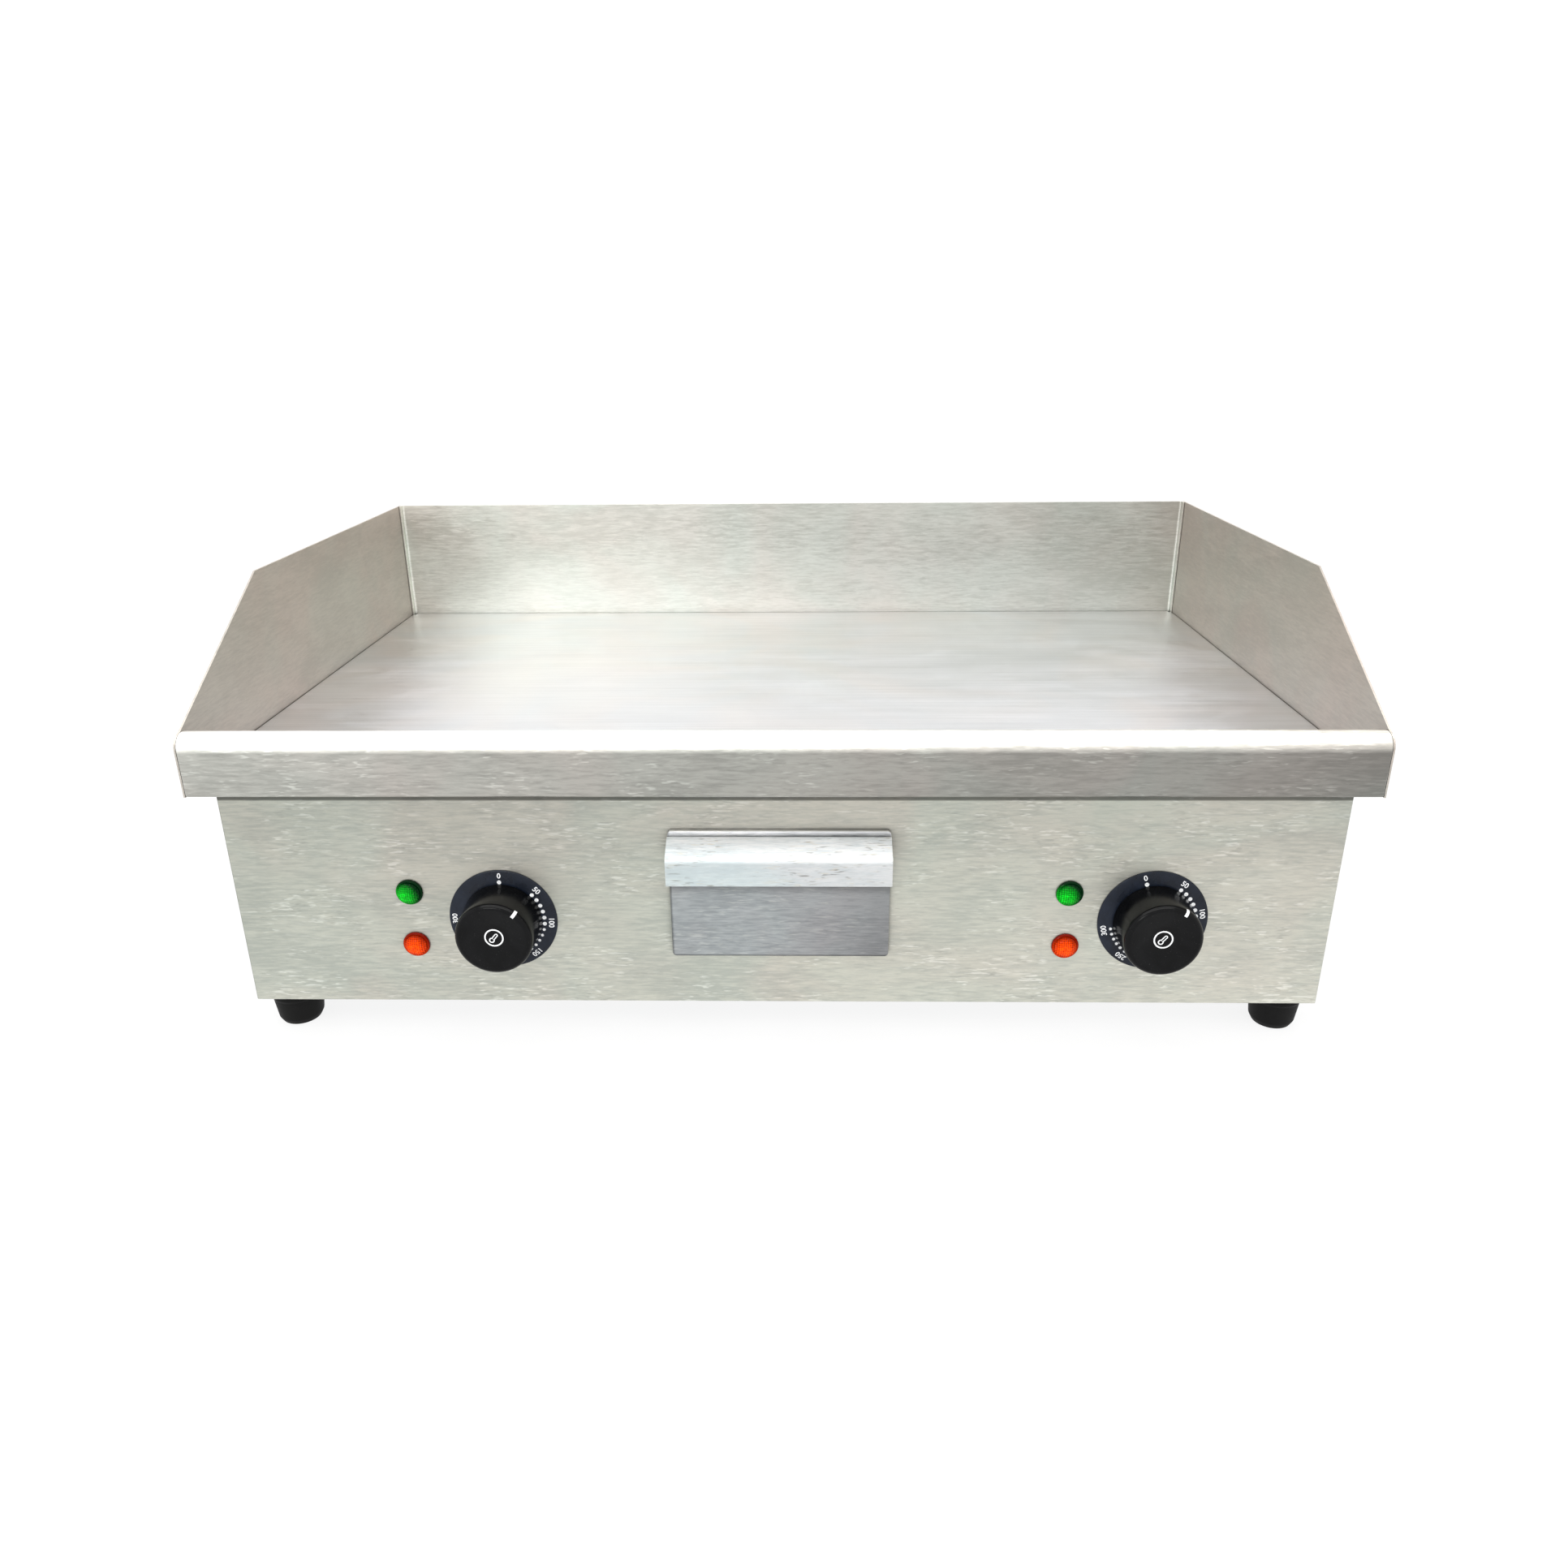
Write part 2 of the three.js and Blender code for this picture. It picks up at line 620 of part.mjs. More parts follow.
// ---- Controls: in each group, z is 0 at the panel's face and rises towards the cook ----
function control(side) {
  const group = onWall(KNOB_X[side], PANEL_FRONT, CONTROL_Z, -1);
  const dial = turned(
    [
      [DIAL.bore, DIAL.back],
      [DIAL.radius, DIAL.back],
      [DIAL.radius, DIAL.face - 0.7],
      [DIAL.radius - 0.9, DIAL.face],
      [DIAL.bore, DIAL.face],
      [DIAL.bore, DIAL.back],
    ],
    36,
  );
  piece(`${side}_dial`, dial, BLACK_PLASTIC, group);

  const dish = 3.2;
  const socket = SHAFT.end + GAP;
  const knob = turned(
    [
      [KNOB.bore, KNOB.back],
      [KNOB.base, KNOB.back],
      [KNOB.rim, KNOB.face - 3],
      [KNOB.rim - 0.8, KNOB.face - 0.9],
      [KNOB.rim - 2.6, KNOB.face],
      [KNOB.rim - 4.4, KNOB.face - 0.6],
      [11, KNOB.face - dish],
      [0, KNOB.face - dish],
      [0, socket],
      [KNOB.bore, socket],
      [KNOB.bore, KNOB.back],
    ],
    32,
  );
  piece(`${side}_knob`, knob, BLACK_PLASTIC, group);

  const flat = box(-4, 4, 1.8, 5, 6, SHAFT.end + 1);
  const stem = turned(
    [
      [0, -THIN - 6],
      [SHAFT.radius, -THIN - 6],
      [SHAFT.radius, SHAFT.end],
      [0, SHAFT.end],
    ],
    16,
  );
  piece(`${side}_thermostat_shaft`, cut(stem, flat), ZINC_STEEL, group);

  const back = -THIN - GAP;
  const plate = prism("z", plaque(-22, 22, -12, 12, 3), back - 1.2, back);
  const body = box(-17, 17, -19, 19, back - 30, back - 2.5);
  const neck = prism("z", round(0, 0, 8, 16), back - 4, back);
  const seat = prism("z", round(0, 0, SHAFT.seat, 16), back - 7, back + 1);
  const tags = [-9, 9].map((x) => box(x - 3, x + 3, -0.5, 0.5, back - 38, back - 29));
  const whole = cut(join(body, plate, neck, ...tags), seat);
  piece(`${side}_thermostat`, whole, BLACK_PLASTIC, group);
}

function pilotLamp(side, kind, look) {
  const group = onWall(LAMP_X[side], PANEL_FRONT, LAMP_Z[kind], -1);
  const clip = -THIN - GAP;
  const lamp = turned(
    [
      [0, -LAMP.length],
      [LAMP.barrel, -LAMP.length],
      [LAMP.barrel, clip - 3],
      [LAMP.barrel + 2, clip - 3],
      [LAMP.barrel + 2, clip],
      [LAMP.barrel, clip],
      [LAMP.barrel, GAP],
      [LAMP.flange, GAP],
      [LAMP.flange, 1.3],
      [LAMP.lens, 1.9],
      [LAMP.lens - 1.4, LAMP.dome],
      [0, LAMP.dome],
    ],
    16,
  );
  piece(`${side}_${kind}_lamp`, lamp, look, group);
}

// Sensing bulbs lie under the plate, and their capillaries run back to the thermostats.
function sensors(side, sign) {
  const x = sign * ZONE_X;
  const radius = 3;
  const z = PLATE_BOTTOM - GAP - radius - 0.1;
  const bulb = turned(
    [
      [0, 0],
      [radius - 1, 0],
      [radius, 1.5],
      [radius, 108],
      [0, 110],
    ],
    12,
  );
  const bulbY = FRONT + 135;
  const placed = piece(`${side}_sensing_bulb`, bulb, COPPER);
  placed.position.set(x, bulbY, z);
  placed.rotation.x = -RIGHT_ANGLE;
  const back = PANEL_FRONT + THIN + GAP + 30;
  const turnY = FRONT + 64;
  const route = [
    [KNOB_X[side] + 8, back + GAP, CONTROL_Z + 12],
    [KNOB_X[side] + 8, turnY, CONTROL_Z + 12, 5],
    [KNOB_X[side] + 8, turnY, 140, 5],
    [x, turnY, 150, 5],
    [x, turnY, z, 5],
    [x, bulbY - GAP, z],
  ];
  piece(`${side}_capillary`, rod(route, 0.9, 6), COPPER);

  // From the thermostat to the outer end of the heating element.
  const end = sign * (ELEMENT.inner + (ELEMENT.runs - 1) * ELEMENT.pitch);
  const lead = [
    [KNOB_X[side] - 9, back + 10, CONTROL_Z],
    [KNOB_X[side] - 9, turnY + 14, CONTROL_Z, 7],
    [end, turnY + 14, 110, 7],
    [end, TERMINAL.y, TERMINAL.z - GAP - 18, 7],
    [end, TERMINAL.y, TERMINAL.z - GAP],
  ];
  piece(`${side}_element_lead`, rod(lead, 2.2, 8), SILICONE);
}

// ---- Supply, at the rear ----
function supply() {
  const blockFront = FRONT + 376;
  const blockBack = FRONT + 400;
  const block = box(-32, 32, blockFront, blockBack, BASE_TOP + GAP, BASE_TOP + 20);
  const wells = [-24, -8, 8, 24].map((x) =>
    prism("z", round(x, (blockFront + blockBack) / 2, 3.5, 8), BASE_TOP + 12, BASE_TOP + 30),
  );
  const mouths = [-24, -8, 8, 24].map((x) =>
    prism("y", round(x, BASE_TOP + 8, 3, 8), blockBack - 7, blockBack + 1),
  );
  piece("terminal_block", cut(block, ...wells, ...mouths), CERAMIC);

  for (const [side, sign] of SIDES) {
    const group = onWall(sign * GLAND.x, CABINET_BACK, GLAND.z, 1);
    const { bore, end } = GLAND;
    const barrel = turned(
      [
        [bore, -14],
        [7.8, -14],
        [7.8, GAP + 1],
        [11, GAP + 1],
        [11, 14],
        [7.5, end],
        [bore, end],
        [bore, -14],
      ],
      16,
    );
    const through = prism("z", round(0, 0, bore, 16), -20, 30);
    const flats = cut(prism("z", hexagon(0, 0, 24), GAP, 6), through);
    const lockNut = cut(prism("z", hexagon(0, 0, 22), -THIN - GAP - 5, -THIN - GAP), through);
    piece(`${side}_cable_gland`, join(barrel, flats, lockNut), BLACK_PLASTIC, group);

    const x = sign * 24;
    const lead = [
      [sign * GLAND.x, CABINET_BACK - 14.5, GLAND.z],
      [sign * GLAND.x, CABINET_BACK - 26, GLAND.z, 6],
      [x, CABINET_BACK - 26, BASE_TOP + 8, 6],
      [x, blockBack - 5, BASE_TOP + 8],
    ];
    piece(`${side}_supply_lead`, rod(lead, 2.5, 8), SILICONE);
  }

  const stud = turned(
    [
      [0, -12],
      [3, -12],
      [3, 15],
      [0, 15],
    ],
    12,
  );
  const nut = prism("z", hexagon(0, 0, 10), GAP, 5);
  const washer = prism("z", round(0, 0, 6.5, 16), 5, 6.4);
  const outerNut = prism("z", hexagon(0, 0, 10), 6.4, 11);
  const earth = onWall(EARTH.x, CABINET_BACK, EARTH.z, 1);
  piece("earth_stud", join(stud, nut, washer, outerNut), BRASS, earth);

  const screw = turned(
    [
      [0, -9],
      [1.9, -8],
      [1.9, GAP],
      [4, GAP],
      [4, 1.4],
      [2.4, 2.8],
      [0, 2.8],
    ],
    12,
  );
  const cross = join(box(-2.2, 2.2, -0.4, 0.4, 1.4, 4), box(-0.4, 0.4, -2.2, 2.2, 1.4, 4));
  for (const [side, sign] of SIDES) {
    REAR_SCREW.heights.forEach((z, i) => {
      const place = onWall(sign * REAR_SCREW.x, CABINET_BACK, z, 1);
      const level = ["lower", "upper"][i];
      piece(`rear_screw_${level}_${side}`, cut(screw, cross), ZINC_STEEL, place);
    });
  }
}

// ---- Grease drawer ----
function drawer() {
  const group = new THREE.Group();
  griddle.add(group);
  const trayFront = DRAWER_FACE + THIN + GAP;
  const trayBack = trayFront + TRAY.depth;
  const outer = box(-TRAY.half, TRAY.half, trayFront, trayBack, TRAY.bottom, TRAY.top);
  const inner = box(
    -TRAY.half + THIN,
    TRAY.half - THIN,
    trayFront + THIN,
    trayBack - THIN,
    TRAY.bottom + THIN,
    TRAY.top + 1,
  );
  piece("drawer_tray", cut(outer, inner), STAINLESS, group);

  // The front is a shallow pan whose rim points back at the cabinet.
  const corner = 2.5;
  const rim = plaque(-DRAWER_HALF, DRAWER_HALF, DRAWER_BOTTOM, DRAWER_TOP, corner);
  const bed = plaque(
    -DRAWER_HALF + THIN,
    DRAWER_HALF - THIN,
    DRAWER_BOTTOM + THIN,
    DRAWER_TOP - THIN,
    corner - THIN,
  );
  const face = prism("y", rim, DRAWER_FACE, PANEL_FRONT - GAP);
  const hollow = prism("y", bed, DRAWER_FACE + THIN, PANEL_FRONT + 1);
  piece("drawer_front", cut(face, hollow), STAINLESS, group);

  // The handle is welded to the front's top, slopes out and turns down into a finger lip.
  const tab = DRAWER_FACE - GAP - SHEET / 2;
  const profile = sheet(
    [
      [tab, DRAWER_TOP - 13],
      [tab, DRAWER_TOP - SHEET / 2, 2],
      [LIP.y + SHEET / 2, LIP.top, 5],
      [LIP.y + SHEET / 2, LIP.bottom],
    ],
    SHEET,
  );
  const handle = prism("x", profile, -DRAWER_HALF, DRAWER_HALF);
  piece("drawer_handle", handle, STAINLESS, group);
}

// Bent runners stand on the base pan and carry the tray's edges.
function drawerRunners() {
  const ledge = TRAY.bottom - GAP - SHEET / 2;
  const foot = BASE_TOP + GAP + SHEET / 2;
  for (const [side, sign] of SIDES) {
    const profile = sheet(
      [
        [sign * 52, ledge],
        [sign * 67.5, ledge, BEND],
        [sign * 67.5, foot, BEND],
        [sign * 82, foot],
      ],
      SHEET,
    );
    const back = FRONT + 215;
    const front = PANEL_FRONT + THIN + GAP + SHEET + GAP;
    piece(`drawer_runner_${side}`, prism("y", profile, front, back), ZINC_STEEL);
  }
}

cookingPlate();
sideGuards();
rearGuard();
bullnose();
greaseTrough();
for (const [side, sign] of SIDES) heatingZone(side, sign);
heatShield();
frontPanel();
sidePanels();
rearPanel();
basePan();
feet();
for (const [side, sign] of SIDES) {
  control(side);
  pilotLamp(side, "power", GREEN_LENS);
  pilotLamp(side, "heating", AMBER_LENS);
  sensors(side, sign);
}
supply();
drawer();
drawerRunners();

export default griddle;
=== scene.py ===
import json
import math

import bmesh
import bpy
from mathutils import Matrix, Vector

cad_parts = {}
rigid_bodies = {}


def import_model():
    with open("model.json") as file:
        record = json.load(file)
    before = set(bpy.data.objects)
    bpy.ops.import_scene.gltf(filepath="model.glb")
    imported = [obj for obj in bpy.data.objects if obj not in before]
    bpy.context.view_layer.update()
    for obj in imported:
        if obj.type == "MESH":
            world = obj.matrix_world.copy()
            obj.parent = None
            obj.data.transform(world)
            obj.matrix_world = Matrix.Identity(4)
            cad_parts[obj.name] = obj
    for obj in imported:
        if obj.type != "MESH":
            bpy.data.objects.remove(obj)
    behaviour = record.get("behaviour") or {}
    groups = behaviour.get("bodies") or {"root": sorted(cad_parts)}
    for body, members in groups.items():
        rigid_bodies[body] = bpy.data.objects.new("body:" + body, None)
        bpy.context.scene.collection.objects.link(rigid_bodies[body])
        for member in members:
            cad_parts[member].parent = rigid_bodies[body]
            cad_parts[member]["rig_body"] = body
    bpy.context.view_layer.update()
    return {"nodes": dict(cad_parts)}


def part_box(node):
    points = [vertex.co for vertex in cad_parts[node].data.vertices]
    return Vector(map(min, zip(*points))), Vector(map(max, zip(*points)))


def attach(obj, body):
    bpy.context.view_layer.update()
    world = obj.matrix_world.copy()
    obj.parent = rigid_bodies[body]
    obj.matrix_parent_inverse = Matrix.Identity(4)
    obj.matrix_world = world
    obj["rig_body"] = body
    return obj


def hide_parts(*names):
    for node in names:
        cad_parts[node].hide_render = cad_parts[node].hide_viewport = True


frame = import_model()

SCENE = bpy.context.scene
MM = 0.001
SHEET = 1.2  # thickness of the top's sheets, in millimetres as all shapes are here
THIN = 1.0  # of the cabinet's panels
SEAM = 0.03  # between faces that lie against each other
BEND = 1.4  # a bend's radius at the middle of the sheet
EASED = 0.12  # bevel along a sheet's cut edges
WELD = 1e-4  # vertices closer than this are one
CAD_WELD = 1e-3  # the same for the CAD's meshes
FINE = math.radians(9)  # turn per facet of a bend
FLAT = math.radians(0.5)  # faces that meet at less than this are one face
SIDES = (("left", -1), ("right", 1))
FRONT, REAR = -1, 1  # the way a wall faces along Y
POINTER = {"left": 40, "right": 31}  # degrees clockwise from the top, at rest
DIAL_TURN = {"left": 0, "right": -14}  # how far each dial is turned on the panel, clockwise


# ---- Shapes, in millimetres ----
def extent(node):
    """x0, x1, y0, y1, z0, z1 of a CAD node, in millimetres."""
    low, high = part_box(node)
    return [value / MM for pair in zip(low, high) for value in pair]


def centre(node):
    """The middle (x, z) of a CAD node, as seen from the front."""
    x0, x1, _, _, z0, z1 = extent(node)
    return (x0 + x1) / 2, (z0 + z1) / 2


def stations(points, closed=False):
    """(point, heading) along straight runs through points (u, v, corner radius)."""
    made = []
    spots = [Vector(point[:2]) for point in points]
    for i, point in enumerate(points):
        before = (spots[i] - spots[i - 1]).normalized()
        after = (spots[(i + 1) % len(spots)] - spots[i]).normalized()
        if not closed and i == 0:
            made.append((spots[i], after))
            continue
        turn = math.atan2(before.cross(after), before.dot(after))
        radius = point[2] if len(point) > 2 else 0
        if not radius or (not closed and i == len(points) - 1):
            made.append((spots[i], before))
            continue
        start = spots[i] - before * radius * math.tan(abs(turn) / 2)
        centre = start + Vector((-before.y, before.x)) * math.copysign(radius, turn)
        steps = max(2, math.ceil(abs(turn) / FINE))
        for k in range(steps + 1):
            swing = Matrix.Rotation(turn * k / steps, 2)
            made.append((centre + swing @ (start - centre), swing @ before))
    return made


def bent(points, thickness=SHEET):
    """The outline of a bent sheet whose middle follows the points."""
    middle = [(p, Vector((-h.y, h.x)) * thickness / 2) for p, h in stations(points)]
    return [p - n for p, n in middle] + [p + n for p, n in reversed(middle)]


def outline(points):
    """The closed outline through points (u, v, corner radius)."""
    return [p for p, _ in stations(points, closed=True)]


def profile(points):
    """The open line through points (u, v, corner radius), as plain pairs."""
    return [tuple(p) for p, _ in stations(points)]


def plaque(u0, u1, v0, v1, radius):
    """A rectangle with rounded corners."""
    return outline([(u0, v0, radius), (u1, v0, radius), (u1, v1, radius), (u0, v1, radius)])


def ring(u, v, radius, sides=48):
    """A circle round a point, as a polygon."""
    turns = [2 * math.pi * i / sides for i in range(sides)]
    return [Vector((u + radius * math.cos(t), v + radius * math.sin(t))) for t in turns]


def hexagon(across):
    """A hexagon round the origin, measured across its flats."""
    return ring(0, 0, across / math.sqrt(3), 6)


PLACES = {
    "x": lambda u, v, w: (w, u, v),
    "y": lambda u, v, w: (u, w, v),
    "z": lambda u, v, w: (u, v, w),
}


def prism(axis, shape, low, high):
    """A shape in (y, z), (x, z) or (x, y), pushed along x, y or z from low to high."""
    bm = bmesh.new()
    ends = [[bm.verts.new(PLACES[axis](u, v, w)) for u, v in shape] for w in (low, high)]
    for end in ends:
        bm.faces.new(end)
    for i in range(len(shape)):
        bm.faces.new((ends[0][i - 1], ends[0][i], ends[1][i], ends[1][i - 1]))
    bmesh.ops.recalc_face_normals(bm, faces=bm.faces)
    return bm


def box(x0, x1, y0, y1, z0, z1):
    return prism("z", [(x0, y0), (x1, y0), (x1, y1), (x0, y1)], z0, z1)


def turned(points, sides=72):
    """A solid of revolution about Z; its profile (radius, z) closes on itself or on the axis."""
    bm = bmesh.new()
    rings = []
    for radius, z in points:
        if radius < WELD:
            rings.append([bm.verts.new((0, 0, z))])
        else:
            rings.append([bm.verts.new((u, v, z)) for u, v in ring(0, 0, radius, sides)])
    pairs = list(zip(rings, rings[1:]))
    if len(rings[0]) > 1 and len(rings[-1]) > 1:
        pairs.append((rings[-1], rings[0]))
    for a, b in pairs:
        for i in range(sides):
            corners = [a[i - 1 if len(a) > 1 else 0], a[i if len(a) > 1 else 0]]
            corners += [b[i if len(b) > 1 else 0], b[i - 1 if len(b) > 1 else 0]]
            bm.faces.new(list(dict.fromkeys(corners)))
    bmesh.ops.recalc_face_normals(bm, faces=bm.faces)
    return bm


def gathered(*parts):
    """Separate closed shapes as one mesh."""
    for part in parts[1:]:
        mesh = bpy.data.meshes.new("part")
        part.to_mesh(mesh)
        part.free()
        parts[0].from_mesh(mesh)
        bpy.data.meshes.remove(mesh)
    return parts[0]


def combined(operation, base, *tools):
    """The base with the tools cut away (DIFFERENCE), added (UNION) or kept (INTERSECT)."""
    objects = []
    for bm in (base, gathered(*tools)):
        mesh = bpy.data.meshes.new("working")
        bm.to_mesh(mesh)
        bm.free()
        objects.append(bpy.data.objects.new("working", mesh))
        SCENE.collection.objects.link(objects[-1])
    modifier = objects[0].modifiers.new("combine", "BOOLEAN")
    modifier.operation = operation
    modifier.solver = "EXACT"
    modifier.object = objects[1]
    graph = bpy.context.evaluated_depsgraph_get()
    mesh = bpy.data.meshes.new_from_object(objects[0].evaluated_get(graph))
    made = bmesh.new()
    made.from_mesh(mesh)
    bmesh.ops.remove_doubles(made, verts=made.verts, dist=WELD)
    bmesh.ops.dissolve_limit(made, angle_limit=FLAT, verts=made.verts, edges=made.edges)
    for used in objects:
        bpy.data.meshes.remove(used.data)
    bpy.data.meshes.remove(mesh)
    return made


def cut(base, *tools):
    return combined("DIFFERENCE", base, *tools)


def join(base, *tools):
    return combined("UNION", base, *tools)


def moved(bm, matrix):
    bmesh.ops.transform(bm, matrix=matrix, verts=bm.verts)
    return bm


def hole(node, radius, front, back, sides=48):
    """A round tool along Y at the middle of a CAD node, to cut a wall with."""
    return prism("y", ring(*centre(node), radius, sides), front, back)


def placed(x, y, z, facing=None, turn=0.0):
    """A place in millimetres. On a wall, local Z points out of it and local Y up or down.

    The turn is in degrees, clockwise as seen from outside.
    """
    tilt = Matrix.Rotation(-facing * math.pi / 2, 4, "X") if facing else Matrix()
    spin = Matrix.Rotation(-math.radians(turn), 4, "Z")
    return Matrix.Translation(Vector((x, y, z)) * MM) @ tilt @ spin


def on_wall(node, facing, turn=0.0):
    """The place of a CAD node on the outside of the front or rear panel."""
    x, z = centre(node)
    wall = extent("front_panel")[2] if facing == FRONT else extent("rear_panel")[3]
    return placed(x, wall, z, facing, turn)


def piece(name, bm, look, node=None, body="griddle", bevel=0.0, place=None, sharp=38):
    """A finished piece: the shape in metres, riding on its body and standing for its CAD node."""
    bmesh.ops.scale(bm, vec=(MM,) * 3, verts=bm.verts)
    mesh = bpy.data.meshes.new(name)
    bm.to_mesh(mesh)
    bm.free()
    mesh.materials.append(look[0])
    made = bpy.data.objects.new(name, mesh)
    SCENE.collection.objects.link(made)
    finish_surface(made, bevel, sharp)
    if place is not None:
        made.matrix_world = place
    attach(made, body)
    if node:
        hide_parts(node)
    return made


def finish_surface(made, bevel, sharp):
    """Smooth shading broken at sharp edges, and a narrow bevel along those."""
    made.data.shade_smooth()
    made.data.set_sharp_from_angle(angle=math.radians(sharp))
    if bevel:
        modifier = made.modifiers.new("edges", "BEVEL")
        modifier.width = bevel * MM
        modifier.segments = 2
        modifier.limit_method = "ANGLE"
        modifier.angle_limit = math.radians(sharp)
        modifier.use_clamp_overlap = False
        modifier.harden_normals = True


def refined(node, look, bevel=0.2, sharp=38):
    """A CAD node's own shape with its flat faces whole, its edges eased and its curves smooth."""
    bm = bmesh.new()
    bm.from_mesh(frame["nodes"][node].data)
    bmesh.ops.scale(bm, vec=(1 / MM,) * 3, verts=bm.verts)
    bmesh.ops.remove_doubles(bm, verts=bm.verts, dist=CAD_WELD)
    bmesh.ops.dissolve_limit(bm, angle_limit=FLAT, verts=bm.verts, edges=bm.edges)
    body = frame["nodes"][node]["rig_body"]
    return piece(f"{node}_finished", bm, look, node, body, bevel, sharp=sharp)


# ---- Materials ----
MIX_FACTOR, MIX_A, MIX_B, MIX_RESULT = 0, 6, 7, 2  # a Mix node's sockets when it mixes colours


def rgb(*values):
    return (*values, 1.0)


class Look:
    """A node material under construction. Texture positions are the object's own, in metres."""

    def __init__(self, name):
        self.material = bpy.data.materials.new(name)
        self.material.use_nodes = True
        self.tree = self.material.node_tree
        self.shader = self.tree.nodes["Principled BSDF"]
        self.here = self.add("ShaderNodeTexCoord").outputs["Object"]

    def add(self, kind, values=(), **settings):
        node = self.tree.nodes.new(kind)
        for key, value in settings.items():
            setattr(node, key, value)
        for key, value in dict(values).items():
            self.put(node.inputs[key], value)
        return node

    def put(self, socket, value):
        if isinstance(value, bpy.types.NodeSocket):
            self.tree.links.new(value, socket)
        else:
            socket.default_value = value

    def set(self, **values):
        """Values for the shader's sockets, by their names in lower case or the two below."""
        names = {"colour": "Base Color", "specular": "Specular IOR Level"}
        for key, value in values.items():
            self.put(self.shader.inputs[names.get(key, key.replace("_", " ").title())], value)

    def stretched(self, scale):
        node = self.add("ShaderNodeMapping", {"Vector": self.here, "Scale": scale})
        return node.outputs["Vector"]

    def noise(self, scale, detail=2.0, roughness=0.5, distortion=0.0):
        """Cloudy values near 0.5; scale is per metre, one number or three."""
        if isinstance(scale, tuple):
            where, size = self.stretched(scale), 1.0
        else:
            where, size = self.here, scale
        values = {"Vector": where, "Scale": size, "Detail": detail}
        values.update({"Roughness": roughness, "Distortion": distortion})
        return self.add("ShaderNodeTexNoise", values).outputs["Fac"]

    def map(self, value, low, high, first=0.0, last=1.0):
        ends = {"From Min": low, "From Max": high, "To Min": first, "To Max": last}
        return self.add("ShaderNodeMapRange", {"Value": value, **ends}).outputs["Result"]

    def math(self, operation, a, b=0.0):
        return self.add("ShaderNodeMath", {0: a, 1: b}, operation=operation).outputs[0]

    def weighted(self, *pairs):
        """The sum of values, each times its weight."""
        total, *rest = [self.math("MULTIPLY", value, weight) for value, weight in pairs]
        for part in rest:
            total = self.math("ADD", total, part)
        return total

    def mix(self, factor, a, b, blend="MIX"):
        """One colour over another. The result is kept within 0 to 1."""
        values = {MIX_FACTOR: factor, MIX_A: a, MIX_B: b}
        settings = {"data_type": "RGBA", "blend_type": blend, "clamp_result": True}
        return self.add("ShaderNodeMix", values, **settings).outputs[MIX_RESULT]

    def edges(self, radius, low=0.02, high=0.25):
        """1 on edges, 0 on flat faces: where hands and cloths rub, and where painted edge
        highlights go.
        """
        eased = self.add("ShaderNodeBevel", {"Radius": radius * MM}, samples=4).outputs[0]
        true = self.add("ShaderNodeNewGeometry").outputs["Normal"]
        node = self.add("ShaderNodeVectorMath", {0: eased, 1: true}, operation="DOT_PRODUCT")
        return self.map(self.math("SUBTRACT", 1.0, node.outputs["Value"]), low, high)

    def shaded(self, colour, tone):
        """The colour times a tone, 1 leaving it as it is."""
        grey = self.add("ShaderNodeCombineColor", {0: tone, 1: tone, 2: tone})
        return self.mix(1.0, colour, grey.outputs[0], "MULTIPLY")

    def painted_light_along(self, colour, axis, start, end, first, last):
        """The colour with painted light and shade: a tone that drifts along the object's own axis,
        in millimetres.
        """
        place = self.add("ShaderNodeSeparateXYZ", {0: self.here}).outputs[axis]
        return self.shaded(colour, self.map(place, start * MM, end * MM, first, last))

    def painted_shade(self, colour, reach, depth):
        """The colour with painted shade: darker in corners and under overhangs, where shade falls.
        """
        node = self.add("ShaderNodeAmbientOcclusion", {"Distance": reach * MM}, samples=6)
        return self.shaded(colour, self.map(node.outputs["AO"], 0.2, 0.85, 1.0 - depth, 1.0))

    def bump(self, height, strength, distance):
        values = {"Height": height, "Strength": strength, "Distance": distance * MM}
        self.put(self.shader.inputs["Normal"], self.add("ShaderNodeBump", values).outputs[0])

    def radius(self, x, y):
        """Distance from a line along the object's own Z, in metres."""
        values = {0: self.here, 1: (1, 1, 0), 2: (-x * MM, -y * MM, 0)}
        flat = self.add("ShaderNodeVectorMath", values, operation="MULTIPLY_ADD")
        length = self.add("ShaderNodeVectorMath", {0: flat.outputs[0]}, operation="LENGTH")
        return length.outputs["Value"]


BRIGHT_FLECK = rgb(0.86, 0.86, 0.81)
DARK_FLECK = rgb(0.26, 0.26, 0.24)
RUBBED_STEEL_HIGHLIGHT = rgb(0.78, 0.77, 0.74)


